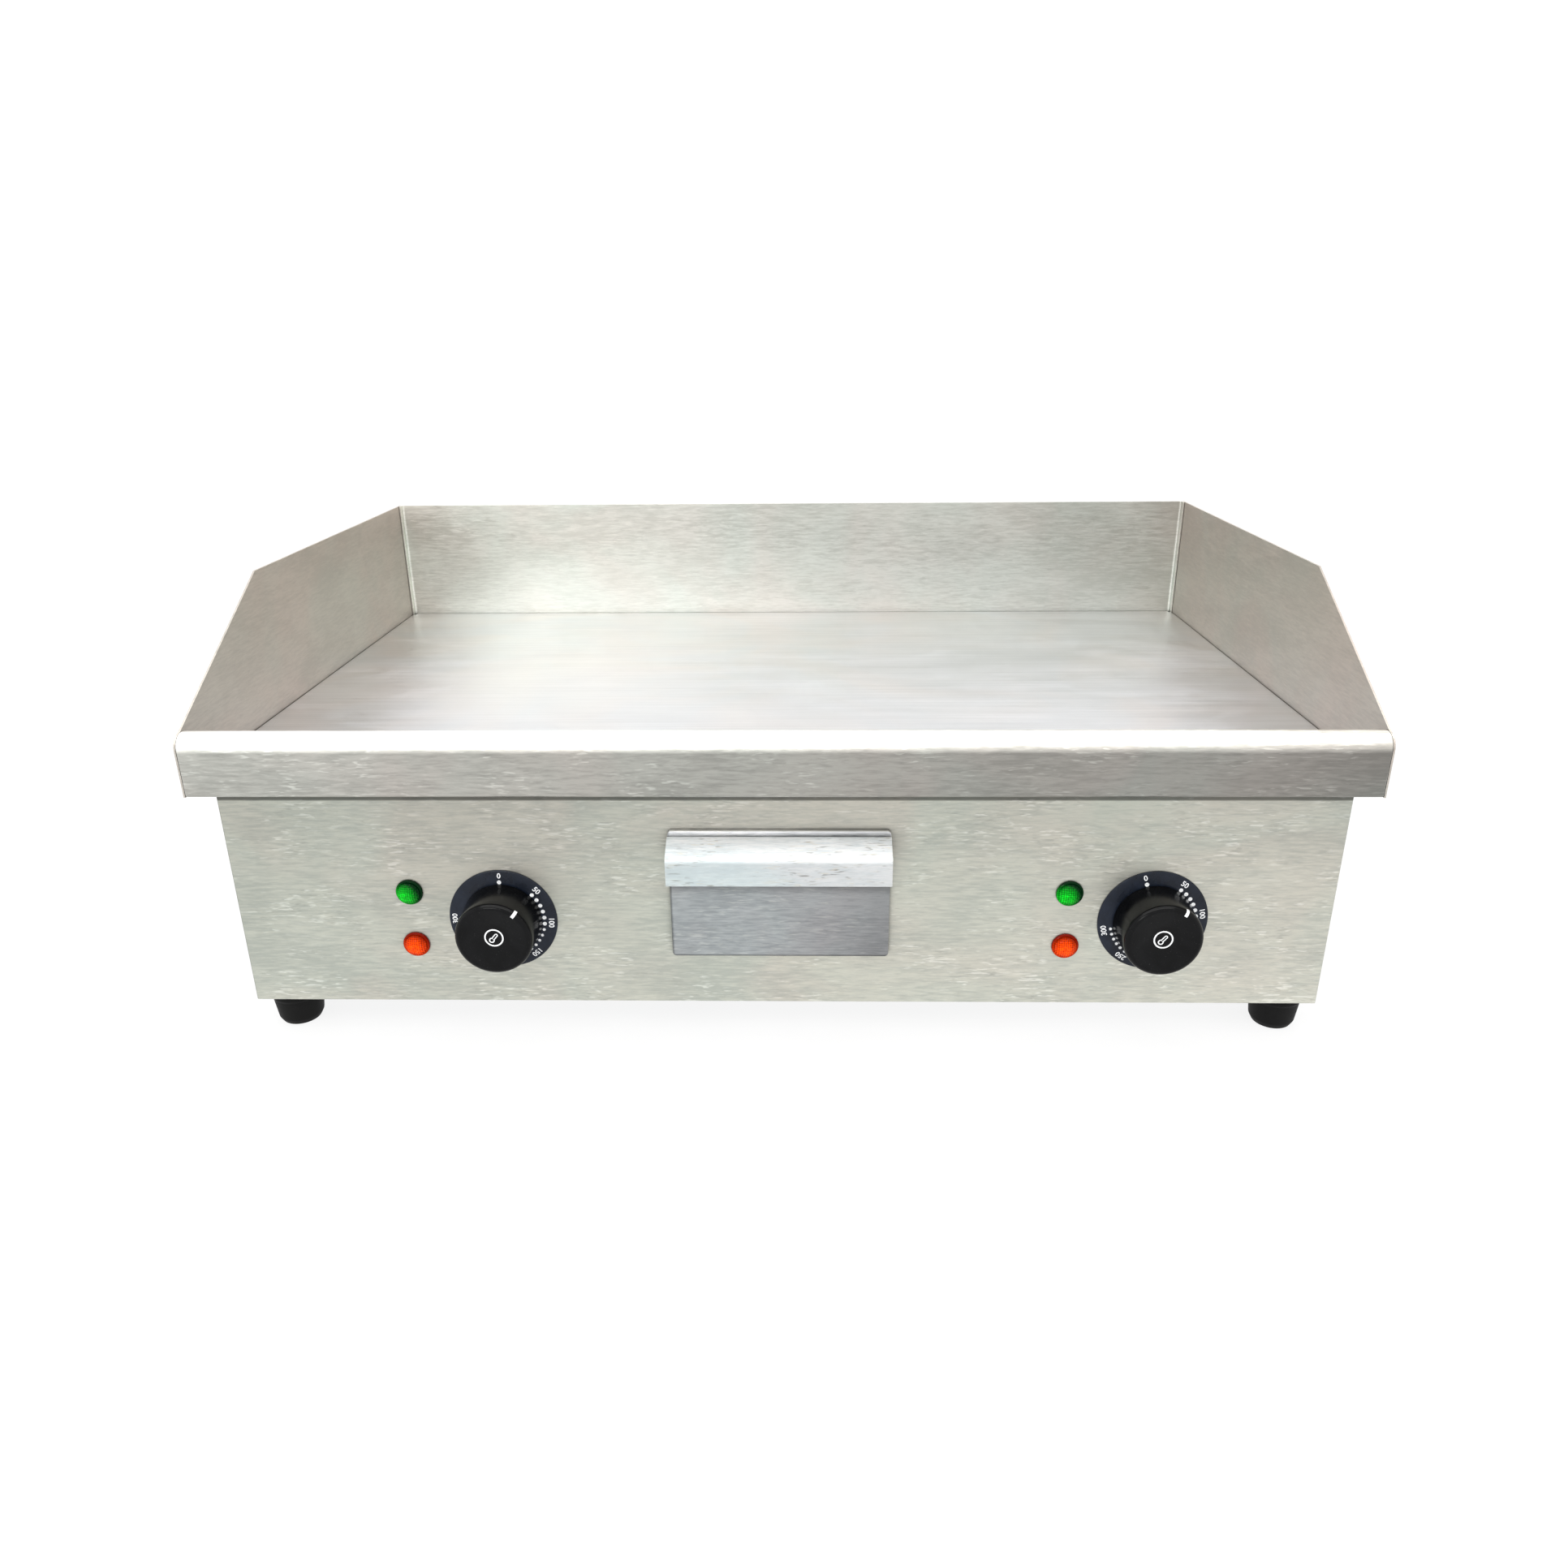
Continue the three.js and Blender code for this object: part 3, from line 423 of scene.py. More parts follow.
def brushed(name, grain, dark, light, roughness, painted_light=(), shade=(28.0, 0.35), flecks=1.0):
    """Brushed stainless steel with its grain along x, y or z, and more or less flecked.

    Each entry of painted light is (axis, from, to, first, last): a tone painted along the sheet
    that stands in for light and shade.
    Shade is how far out of a corner the painted shade reaches, in millimetres, and how much darker
    it makes the steel.
    """
    look = Look(name)

    def along(length, height):
        return tuple(length if axis == grain else height for axis in "xyz")

    streaks = look.noise(along(75, 620), 3.0, 0.6, 0.25)
    hairlines = look.noise(along(190, 3400), 2.0, 0.5)
    sweeps = look.noise(along(9, 30), 3.0, 0.55, 0.6)
    clouds = look.noise(5.5, 2.0, 0.5, 0.4)
    tone = look.weighted((streaks, 0.5), (sweeps, 0.3), (clouds, 0.2))
    colour = look.mix(look.map(tone, 0.42, 0.58), rgb(*dark), rgb(*light))
    clumps = look.map(look.noise(along(22, 48), 3.0, 0.6, 0.8), 0.44, 0.6)
    dashes = look.map(look.noise(along(120, 760), 1.0, 0.5, 0.2), 0.58, 0.68, 0.0, 0.42 * flecks)
    colour = look.mix(look.math("MULTIPLY", dashes, clumps), colour, BRIGHT_FLECK)
    dents = look.map(look.noise(along(135, 900), 1.0, 0.5, 0.3), 0.60, 0.70, 0.0, 0.30 * flecks)
    colour = look.mix(look.math("MULTIPLY", dents, clumps), colour, DARK_FLECK)
    tint = look.noise(9.0, 2.0, 0.6, 0.8)
    greenish, reddish = rgb(0.965, 0.995, 0.98), rgb(1.0, 0.968, 0.955)
    tints = look.mix(look.map(tint, 0.38, 0.62), greenish, reddish)
    colour = look.mix(0.9, colour, tints, "MULTIPLY")
    colour = look.shaded(colour, look.map(hairlines, 0.3, 0.7, 0.95, 1.04))
    # Painted light and shade along the sheet.
    for painted_tone in painted_light:
        colour = look.painted_light_along(colour, *painted_tone)
    # Edges lightened towards rubbed steel: partly wear, partly a painted edge highlight.
    wear_and_highlight = look.edges(0.7)
    patchy = look.math("MULTIPLY", wear_and_highlight, look.map(look.noise(60.0, 3.0), 0.35, 0.6, 0.25, 0.75))
    colour = look.mix(patchy, colour, RUBBED_STEEL_HIGHLIGHT)
    reach, depth = shade
    # Painted shade in corners and under overhangs.
    look.set(colour=look.painted_shade(colour, reach, depth))
    marks = look.map(look.noise(14.0, 4.0, 0.6, 1.5), 0.45, 0.72, 0.0, 0.09)
    rough = look.map(streaks, 0.3, 0.7, roughness - 0.05, roughness + 0.06)
    look.set(roughness=look.math("ADD", rough, marks), metallic=1.0, anisotropic=0.4)
    values = {axis: float(axis.lower() == grain) for axis in "XYZ"}
    look.set(tangent=look.add("ShaderNodeCombineXYZ", values).outputs[0])
    look.bump(look.weighted((streaks, 0.6), (hairlines, 0.4)), 0.13, 0.06)
    return look.material, "stainless"


def plate_steel():
    """The ground cooking surface: satin, with long grinding marks and faint heat tones."""
    look = Look("ground_plate_steel")
    grind = look.noise((9.0, 420.0, 420.0), 4.0, 0.6)
    fine = look.noise((70.0, 2600.0, 2600.0), 2.0)
    clouds = look.noise(4.2, 3.0, 0.55, 0.6)
    heat = look.noise(7.5, 2.0, 0.5, 1.2)
    tone = look.weighted((grind, 0.55), (clouds, 0.45))
    colour = look.mix(look.map(tone, 0.36, 0.64), rgb(0.60, 0.60, 0.61), rgb(0.71, 0.705, 0.715))
    bluish, straw = rgb(0.965, 0.98, 1.0), rgb(1.0, 0.975, 0.965)
    tints = look.mix(look.map(heat, 0.4, 0.6), bluish, straw)
    colour = look.mix(0.8, colour, tints, "MULTIPLY")
    # Painted light: darker at the front, lighter towards the back.
    colour = look.painted_light_along(colour, "Y", -170, 200, 0.93, 1.13)
    # Edges lightened: partly wear, partly a painted edge highlight.
    wear_and_highlight = look.math("MULTIPLY", look.edges(1.0), 0.5)
    colour = look.mix(wear_and_highlight, colour, rgb(0.86, 0.86, 0.86))
    # Painted shade in the corners against the guards and trough.
    look.set(colour=look.painted_shade(colour, 4.0, 0.4), metallic=1.0)
    smears = look.map(look.noise((11.0, 24.0, 24.0), 4.0, 0.6, 1.0), 0.42, 0.7, 0.0, 0.1)
    rough = look.map(grind, 0.3, 0.7, 0.29, 0.37)
    look.set(roughness=look.math("ADD", rough, smears), anisotropic=0.35)
    look.set(tangent=look.add("ShaderNodeCombineXYZ", {"X": 1.0}).outputs[0])
    look.bump(look.weighted((grind, 0.6), (fine, 0.4)), 0.08, 0.08)
    return look.material, "ground_plate"


def rolled(name, slot, dark, light, roughness, grain=180.0, edge=(0.8, 0.8, 0.8), metal=1.0):
    """Unpolished metal, rubber, ceramic or silicone: mottled, with edges lightened as rubbed wear
    and as a painted edge highlight.
    """
    look = Look(name)
    mottle = look.noise(grain, 4.0, 0.6, 0.5)
    clouds = look.noise(grain / 9, 3.0, 0.5)
    tone = look.weighted((mottle, 0.55), (clouds, 0.45))
    colour = look.mix(look.map(tone, 0.36, 0.64), rgb(*dark), rgb(*light))
    wear_and_highlight = look.math("MULTIPLY", look.edges(0.6), look.map(mottle, 0.4, 0.6, 0.15, 0.6))
    look.set(colour=look.mix(wear_and_highlight, colour, rgb(*edge)), metallic=metal)
    look.set(roughness=look.map(tone, 0.35, 0.65, roughness - 0.08, roughness + 0.08))
    look.set(specular=0.5 if metal else 0.12)
    grit = look.noise(grain * 14, 2.0, 0.6)
    look.bump(look.math("ADD", mottle, look.math("MULTIPLY", grit, 0.5)), 0.25, 0.08)
    return look.material, slot


def moulded(name, slot, colour, roughness, grit, edge, specular):
    """Moulded black plastic: nearly even, with a fine skin, dust specks, and edges lightened as
    rubbed wear and as a painted highlight.
    """
    look = Look(name)
    cloud = look.noise(70.0, 3.0, 0.6, 0.4)
    lifted = tuple(value * 1.9 + 0.001 for value in colour)
    base = look.mix(look.map(cloud, 0.4, 0.65), rgb(*colour), rgb(*lifted))
    # Lighter edges: rubbed wear and a painted highlight along rims and crest.
    wear_and_highlight = look.math("MULTIPLY", look.edges(0.4), look.map(cloud, 0.4, 0.6, 0.1, 0.4))
    dust = look.map(look.noise(1900.0, 1.0, 0.4), 0.74, 0.8, 0.0, 0.12)
    base = look.mix(wear_and_highlight, base, rgb(*edge))
    look.set(colour=look.mix(dust, base, rgb(0.4, 0.4, 0.38)))
    look.set(roughness=look.map(cloud, 0.35, 0.65, roughness * 0.8, roughness * 1.25))
    look.set(specular=specular)
    look.bump(look.noise(2600.0, 2.0, 0.5), grit, 0.05)
    return look.material, slot


def lens(name, slot, deep, bright, glow, focus):
    """A lit lens in small prisms, that glows round the focus and is dark at its rim."""
    look = Look(name)
    middle = look.map(look.radius(*focus), 0.0094, 0.0028)
    wave = 2 * math.pi / (2.0 * MM)
    slanted = {"Vector": look.here, "Rotation": (0, 0, math.pi / 4), "Scale": (wave, wave, 1)}
    diagonal = look.add("ShaderNodeMapping", slanted).outputs[0]
    lines = look.add("ShaderNodeSeparateXYZ", {0: diagonal})
    waves = [look.math("SINE", lines.outputs[axis]) for axis in "XY"]
    facets = look.map(look.math("MULTIPLY", *waves), -0.7, 0.7)
    mottle = look.map(look.noise(300.0, 3.0, 0.6, 0.5), 0.35, 0.65, 0.6, 1.0)
    light = look.math("MULTIPLY", middle, look.map(facets, 0.0, 1.0, 0.35, 1.0))
    light = look.math("MULTIPLY", light, mottle)
    colour = look.mix(light, rgb(*deep), rgb(*bright))
    look.set(colour=colour, roughness=look.map(mottle, 0.6, 1.0, 0.05, 0.16))
    look.set(emission_color=look.mix(light, rgb(*deep), rgb(*bright)))
    look.set(emission_strength=look.map(light, 0.0, 1.0, glow * 0.2, glow), specular=0.07)
    look.bump(mottle, 0.15, 0.05)
    return look.material, slot


def print_white():
    """Screen-printed white, a little thin in places."""
    look = Look("white_print")
    thin = look.noise(900.0, 3.0, 0.6)
    worn, full = rgb(0.66, 0.68, 0.70), rgb(0.92, 0.93, 0.94)
    look.set(colour=look.mix(look.map(thin, 0.35, 0.6), worn, full))
    look.set(roughness=look.map(thin, 0.3, 0.7, 0.4, 0.6))
    look.bump(thin, 0.2, 0.03)
    return look.material, "dial_plastic"


# Each sheet of the outside has its own steel: lighter and darker copies of one brushed steel, each
# carrying its own painted light and shade.
STEEL_X = brushed(
    "brushed_steel_across", "x", (0.46, 0.475, 0.445), (0.58, 0.585, 0.545), 0.45,
)
STEEL_Y = brushed(
    "brushed_steel_deep", "y", (0.46, 0.462, 0.435), (0.57, 0.57, 0.535), 0.44, flecks=0.6,
)
STEEL_Z = brushed("brushed_steel_upright", "z", (0.50, 0.50, 0.475), (0.62, 0.615, 0.585), 0.42)
# A darker, warmer copy of the steel: its base tone is a painted reflection tone of the inner
# faces.
STEEL_GUARD = brushed(
    "brushed_steel_guard", "y", (0.47, 0.428, 0.39), (0.555, 0.508, 0.462), 0.36,
    shade=(8.0, 0.3), flecks=0.12,
)
# Painted light: lighter low down and darker high up, a painted shadow line under the nose, lighter
# to the right, and a painted dark line along the left bend.
STEEL_PANEL = brushed(
    "brushed_steel_panel", "x", (0.437, 0.448, 0.408), (0.558, 0.558, 0.50), 0.45,
    [
        ("Z", 20, 165, 1.14, 0.90), ("Z", 171.2, 172.2, 1.0, 0.3),
        ("X", -300, 300, 0.97, 1.06), ("X", -357.5, -356.2, 0.6, 1.0),
    ],
    shade=(12.0, 0.6),
)
# A darker copy of the steel: painted shade that deepens to the right, and a painted highlight
# along the top of the roll.
STEEL_NOSE = brushed(
    "brushed_steel_nose", "x", (0.38, 0.372, 0.348), (0.50, 0.488, 0.458), 0.36,
    [("X", -280, 362, 1.0, 0.55), ("Z", 211, 216, 1.0, 2.9)],
    shade=(6.0, 0.2),
)
# A lighter copy of the steel: painted light brighter to the left and darker to the right, and
# painted highlights along both folded corners.
STEEL_SPLASH = brushed(
    "brushed_steel_splash", "x", (0.56, 0.57, 0.53), (0.68, 0.69, 0.65), 0.35,
    [("X", -200, 40, 1.12, 0.85), ("X", -361, -360, 1.2, 1.0), ("X", 360, 361, 1.0, 1.4)],
    shade=(8.0, 0.25), flecks=0.5,
)
# A darker copy of the steel: painted dark line along the bottom edge, painted shadow below the
# handle's lip, painted light on the top strip, a painted dark line at the left edge, and painted
# shade towards the right.
STEEL_DRAWER = brushed(
    "brushed_steel_drawer", "x", (0.32, 0.335, 0.35), (0.45, 0.465, 0.48), 0.42,
    [
        ("Z", 62.4, 63.6, 0.35, 1.0), ("Z", 107, 113, 1.0, 0.6), ("Z", 145, 149, 1.0, 3.6),
        ("X", -70.6, -69.4, 0.45, 1.0), ("X", -20, 71, 1.0, 0.66),
    ],
    shade=(6.0, 0.5), flecks=0.5,
)
# A near-white copy of the steel: a painted highlight over the whole handle, darker lower down and
# lighter along its top.
STEEL_HANDLE = brushed(
    "brushed_steel_handle", "x", (0.80, 0.86, 0.89), (0.93, 0.97, 0.99), 0.78,
    [("Z", 138, 142, 0.80, 1.05)],
    shade=(5.0, 0.1), flecks=1.7,
)
PLATE = plate_steel()
ZINC = rolled(
    "zinc_plated_steel", "zinc_steel", (0.42, 0.44, 0.45), (0.62, 0.63, 0.64), 0.38, 90.0,
)
SHEATH = rolled(
    "heated_sheath", "element_sheath", (0.09, 0.075, 0.065), (0.20, 0.16, 0.14), 0.5, 120.0,
    (0.4, 0.36, 0.33),
)
COPPER = rolled(
    "copper_tube", "copper", (0.55, 0.25, 0.14), (0.78, 0.42, 0.27), 0.32, 110.0,
    (0.9, 0.6, 0.45),
)
BRASS = rolled(
    "turned_brass", "brass", (0.55, 0.40, 0.16), (0.76, 0.59, 0.28), 0.3, 160.0,
    (0.9, 0.76, 0.45),
)
RUBBER = rolled(
    "foot_rubber_skin", "foot_rubber", (0.002, 0.002, 0.002), (0.006, 0.006, 0.006), 0.6, 220.0,
    (0.03, 0.03, 0.03), metal=0.0,
)
CERAMIC = rolled(
    "glazed_steatite", "block_ceramic", (0.68, 0.64, 0.55), (0.82, 0.78, 0.70), 0.5, 200.0,
    (0.9, 0.88, 0.82), metal=0.0,
)
SILICONE = rolled(
    "silicone_sleeve", "lead_silicone", (0.52, 0.50, 0.43), (0.66, 0.64, 0.56), 0.5, 160.0,
    (0.75, 0.73, 0.66), metal=0.0,
)
KNOB_BLACK = moulded(
    "gloss_knob", "knob_plastic", (0.001, 0.0011, 0.0014), 0.16, 0.06, (0.10, 0.10, 0.11), 0.15,
)
DIAL_BLACK = moulded(
    "satin_dial", "dial_plastic", (0.005, 0.0075, 0.014), 0.30, 0.12, (0.05, 0.055, 0.065), 0.24,
)
PLASTIC = moulded(
    "matt_black_plastic", "black_plastic", (0.009, 0.009, 0.010), 0.42, 0.2, (0.06, 0.06, 0.06),
    0.35,
)
GREEN = lens(
    "green_lamp_lens", "green_lens", (0.0, 0.014, 0.003), (0.002, 0.50, 0.014), 1.3, (-2.6, -2.2),
)
AMBER = lens(
    "amber_lamp_lens", "amber_lens", (0.14, 0.004, 0.0), (1.0, 0.075, 0.0), 1.4, (-0.5, -1.5),
)
PRINT = print_white()


# ---- The welded top ----
def welded_top():
    refined("griddle_plate", PLATE, 0.45)
    side_guards()
    rear_guard()
    bullnose()
    trough()


def side_guards():
    corner = 10  # radius of the rounded front corner
    slope = 140  # from the front edge to where the guard has its full height
    foot_height, front_gap, back_gap = 3, 25, 13.8
    crown = extent("front_bullnose")[5] - corner
    for side, sign in SIDES:
        x0, x1, y0, y1, z0, z1 = extent(f"{side}_splash_guard")
        outer, inner = (x0, x1) if sign < 0 else (x1, x0)
        arc = [
            Vector((y0 + corner + corner * math.cos(t), crown + corner * math.sin(t)))
            for t in (math.radians(99 + 9 * i) for i in range(10))
        ]
        shape = [(y1, z0), (y1, z1), (y0 + slope, z1), *arc, (y0, z0)]
        wall = prism("x", shape, *sorted((outer, outer - sign * SHEET)))
        front, back = y0 + front_gap, y1 - SHEET - back_gap
        across = sorted((outer + sign, outer - sign * 3))
        clear = box(*across, front, back, z0 - 1, z0 + foot_height)
        middle = outer - sign * SHEET / 2
        floor = z0 + SHEET / 2
        fold = bent([(inner, floor), (middle, floor, BEND), (middle, z0 + foot_height - SEAM)])
        foot = prism("y", fold, front + SEAM, back - SEAM)
        shell = gathered(cut(wall, clear), foot)
        piece(f"{side}_guard_sheet", shell, STEEL_GUARD, f"{side}_splash_guard", bevel=0.16)


def rear_guard():
    x0, x1, y0, y1, z0, z1 = extent("rear_splash_guard")
    reach = x1 - SHEET / 2
    middle = y1 - SHEET / 2
    end_fold, corner = 6, 2.0
    plan = bent([
        (-reach, middle - end_fold), (-reach, middle, corner),
        (reach, middle, corner), (reach, middle - end_fold),
    ])
    wall = prism("z", plan, extent("griddle_plate")[4], z1)
    lap, lap_height, inset = middle - SEAM, 10.6, 4
    skirt = bent([(lap, z0 + lap_height), (lap, z0 + SHEET / 2, BEND), (y0, z0 + SHEET / 2)])
    foot = prism("x", skirt, x0 + inset, x1 - inset)
    piece("rear_guard_sheet", gathered(wall, foot), STEEL_SPLASH, "rear_splash_guard", bevel=0.16)


def bullnose():
    x0, x1, y0, y1, z0, z1 = extent("front_bullnose")
    radius, depth = 10, 20  # of the nose, outside
    hem = 1.9  # from the floor up to the sheet folded back over it
    arc = radius - SHEET / 2
    front, back = y0 + SHEET / 2, y0 + depth - SHEET / 2
    floor, top = z0 + SHEET / 2, z1 - SHEET / 2
    shape = bent([
        (y1, floor), (front, floor, BEND), (front, top, arc), (back, top, arc),
        (back, floor + hem, BEND), (y1, floor + hem),
    ])
    piece("bullnose_sheet", prism("x", shape, x0, x1), STEEL_NOSE, "front_bullnose", bevel=EASED)


def trough():
    _, x1, y0, y1, z0, z1 = extent("grease_trough")
    front, back = y0 + SHEET / 2, y1 - SHEET / 2
    floor = z0 + SHEET / 2
    ledge = extent("griddle_plate")[4] - 0.1  # underside of the ledges at both ends
    half = 341.7  # half the channel's length
    drain, tube, flange = 7.5, 8.7, 10.7  # radii
    channel = bent([(front, ledge + 1.6), (front, floor, BEND), (back, floor, BEND), (back, z1)])
    shell = prism("x", channel, -half, half)
    for sign in (-1, 1):
        inside = sorted((sign * (half - SHEET), sign * half))
        over = sorted((sign * (half - SHEET), sign * x1))
        shell = join(shell, join(
            box(*inside, front, back, floor, ledge + SHEET),
            box(*over, y0, y1, ledge, ledge + SHEET),
        ))
    _, _, low, high, bottom, top = extent("drain_spout")
    middle = (low + high) / 2
    bore = prism("z", ring(0, middle, drain), floor - 5, floor + 5)
    piece("grease_trough_sheet", cut(shell, bore), STEEL_X, "grease_trough")
    shape = profile([
        (drain, bottom + 0.3), (8.0, bottom), (tube, bottom), (tube, top - 1.5, 0.8),
        (flange, top - 1.5), (flange, top), (drain, top, 0.6), (drain, bottom + 0.3),
    ])
    piece(
        "drain_spout_tube", turned(shape[:-1]), STEEL_Z, "drain_spout", bevel=0.1,
        place=placed(0, middle, 0),
    )


# ---- The cabinet ----
def cabinet():
    front_panel()
    for side, sign in SIDES:
        x0, x1, y0, y1, z0, z1 = extent(f"{side}_side_panel")
        outer, inner = (x0, x1) if sign < 0 else (x1, x0)
        middle = outer - sign * THIN / 2
        top = z1 - THIN / 2
        panel = prism("y", bent([(middle, z0), (middle, top, BEND), (inner, top)], THIN), y0, y1)
        piece(f"{side}_panel_sheet", panel, STEEL_Y, f"{side}_side_panel", bevel=EASED)
    rear_panel()
    refined("base_pan", ZINC, EASED)
    refined("heat_shield", ZINC, EASED)
    feet()


def front_panel():
    _, x1, y0, y1, z0, z1 = extent("front_panel")
    middle = x1 - THIN / 2
    face = y0 + THIN / 2
    plan = bent([(-middle, y1), (-middle, face, BEND), (middle, face, BEND), (middle, y1)], THIN)
    through = (y0 - 2, y0 + 5)
    shaft_hole, lamp_hole = 5.0, 6.3  # radii
    tools = []
    for side, _ in SIDES:
        tools.append(hole(f"{side}_dial", shaft_hole, *through))
        for kind in ("power", "heating"):
            tools.append(hole(f"{side}_{kind}_lamp", lamp_hole, *through))
    tray = extent("drawer_tray")
    window = plaque(tray[0] - 2.5, tray[1] + 2.5, tray[4] - 1.9, tray[5] + 5, 2.0)
    tools.append(prism("y", window, *through))
    panel = cut(prism("z", plan, z0, z1), *tools)
    piece("front_panel_sheet", panel, STEEL_PANEL, "front_panel", bevel=EASED)


def rear_panel():
    x0, x1, y0, y1, z0, z1 = extent("rear_panel")
    through = (y0 - 5, y1 + 5)
    gland_hole, screw_hole, stud_hole = 8.2, 2.3, 3.5  # radii
    vents, first_vent, vent_pitch, vent_half, vent_low, vent_high = 5, 200, 22, 3.5, 85, 135
    tools = []
    for side, sign in SIDES:
        tools.append(hole(f"{side}_cable_gland", gland_hole, *through))
        for level in ("lower", "upper"):
            tools.append(hole(f"rear_screw_{level}_{side}", screw_hole, *through, 24))
        for i in range(vents):
            x = sign * (first_vent + i * vent_pitch)
            slot = plaque(x - vent_half, x + vent_half, vent_low, vent_high, vent_half - 0.05)
            tools.append(prism("y", slot, *through))
    tools.append(prism("y", ring(0, 60, stud_hole, 32), *through))
    panel = cut(box(x0, x1, y0, y1, z0, z1), *tools)
    piece("rear_panel_sheet", panel, STEEL_X, "rear_panel", bevel=EASED)


def feet():
    """Rubber feet, hollow round the bolt above, with a moulded ring and a dished underside."""
    dish = 1.2  # height of the dished underside
    socket, socket_floor = 4.3, 8.0  # the bolt's hollow: its radius and its height
    for corner in ("front_left", "front_right", "rear_left", "rear_right"):
        x0, x1, y0, y1, _, z1 = extent(f"foot_{corner}")
        wide = (x1 - x0) / 2
        shape = profile([
            (0, dish), (8.0, dish, 1.5), (9.4, 0.0, 0.4), (12.6, 0.0, 1.2), (14.8, 4.0, 3.5),
            (wide - 0.9, z1 - 6.5, 2.0), (wide - 0.1, z1 - 4.8, 1.0), (wide, z1 - 2.6, 0.8),
            (wide, z1, 0.8), (socket, z1), (socket, socket_floor), (0, socket_floor),
        ])
        where = placed((x0 + x1) / 2, (y0 + y1) / 2, 0)
        piece(f"foot_{corner}_rubber", turned(shape, 64), RUBBER, f"foot_{corner}", place=where)
        refined(f"foot_bolt_{corner}", ZINC, 0.15)


# ---- Controls ----
# Profiles and printed marks, with heights measured from the front panel's face.
DIAL_SLOPE = [(6.0, 1.8), (27.0, 1.8, 4.0), (34.8, 0.78, 1.0), (35.5, 0.5)]
DIAL_BACK = [(6.0, 0.3), (35.5, 0.3)]
DOTS_AT, FIGURES_AT = 27.4, 31.6  # radii
DOTS, BOLD_DOTS = 26, 6
ZERO_SIZE, BOLD_SIZE, DOT_SIZE = 1.4, 1.35, 1.0  # radii of the dots
FIGURES = {"0": 0, "50": 48, "100": 94, "150": 140, "200": 186, "250": 229, "300": 271}
FIGURE_SIZE, FIGURE_DEPTH, STROKE = 5.0, 0.14, 0.08
KNOB_FACE = [(0, 25.8), (8.8, 25.8, 12.0), (21.2, 28.9, 2.2), (24.75, 28.85, 3.3), (24.95, 22.0)]
KNOB_SKIRT = [(25.0, 19.0), (25.75, 5.0, 3.0), (26.0, 3.4, 0.6), (26.0, 2.1, 0.3), (24.8, 2.1)]
KNOB_HOLLOW = [(3.3, 2.1), (3.3, 20.3), (0, 20.3)]
LENS_PITCH, LENS_PRISM, LENS_RIM = 1.9, 0.42, 7.15
LENS_TOP, LENS_DROP, LENS_FOOT = 5.0, 2.4, 0.6


def text_mesh(words, size, depth):
    """Generic figures as a shape in millimetres, standing on Z = 0."""
    curve = bpy.data.curves.new("figures", "FONT")
    curve.body = words
    curve.size = size
    curve.extrude = depth / 2
    curve.offset = STROKE
    curve.align_x = "CENTER"
    curve.align_y = "CENTER"
    curve.resolution_u = 4
    holder = bpy.data.objects.new("figures", curve)
    SCENE.collection.objects.link(holder)
    graph = bpy.context.evaluated_depsgraph_get()
    mesh = bpy.data.meshes.new_from_object(holder.evaluated_get(graph))
    bm = bmesh.new()
    bm.from_mesh(mesh)
    bmesh.ops.remove_doubles(bm, verts=bm.verts, dist=WELD)
    bpy.data.meshes.remove(mesh)
    bpy.data.objects.remove(holder)
    bpy.data.curves.remove(curve)
    return moved(bm, Matrix.Translation((0, 0, depth / 2)))


def dial_height(radius):
    """How far the dial's face stands out at a radius."""
    points = profile(DIAL_SLOPE)
    for (r0, z0), (r1, z1) in zip(points, points[1:]):
        if r0 <= radius <= r1:
            return z0 + (z1 - z0) * (radius - r0) / (r1 - r0)
    return points[-1][1]


def scale_angle(i):
    """Where a dot of the scale stands, clockwise from the top. They slowly close up."""
    return 48.5 + 9.6 * i - 0.026 * i * i


def dial(side):
    where = on_wall(f"{side}_dial", FRONT, DIAL_TURN[side])
    shape = [*DIAL_BACK, *reversed(profile(DIAL_SLOPE))]
    piece(f"{side}_dial_disc", turned(shape, 128), DIAL_BLACK, f"{side}_dial", place=where)

    marks = [(0, ZERO_SIZE)]
    for i in range(DOTS):
        marks.append((scale_angle(i), BOLD_SIZE if i < BOLD_DOTS else DOT_SIZE))
    level = dial_height(DOTS_AT)
    ink = []
    for angle, size in marks:
        turn = math.radians(angle)
        spot = (DOTS_AT * math.sin(turn), DOTS_AT * math.cos(turn))
        ink.append(prism("z", ring(*spot, size, 20), level - 0.2, level + 0.1))
    fall = dial_height(33) - dial_height(29)
    slope = Matrix.Rotation(math.atan2(fall, 33 - 29), 4, "X")
    rise = Matrix.Translation((0, FIGURES_AT, dial_height(FIGURES_AT) - 0.06)) @ slope
    for words, angle in FIGURES.items():
        shape = text_mesh(words, FIGURE_SIZE, FIGURE_DEPTH)
        ink.append(moved(shape, Matrix.Rotation(-math.radians(angle), 4, "Z") @ rise))
    piece(f"{side}_dial_print", gathered(*ink), PRINT, place=where, sharp=50)


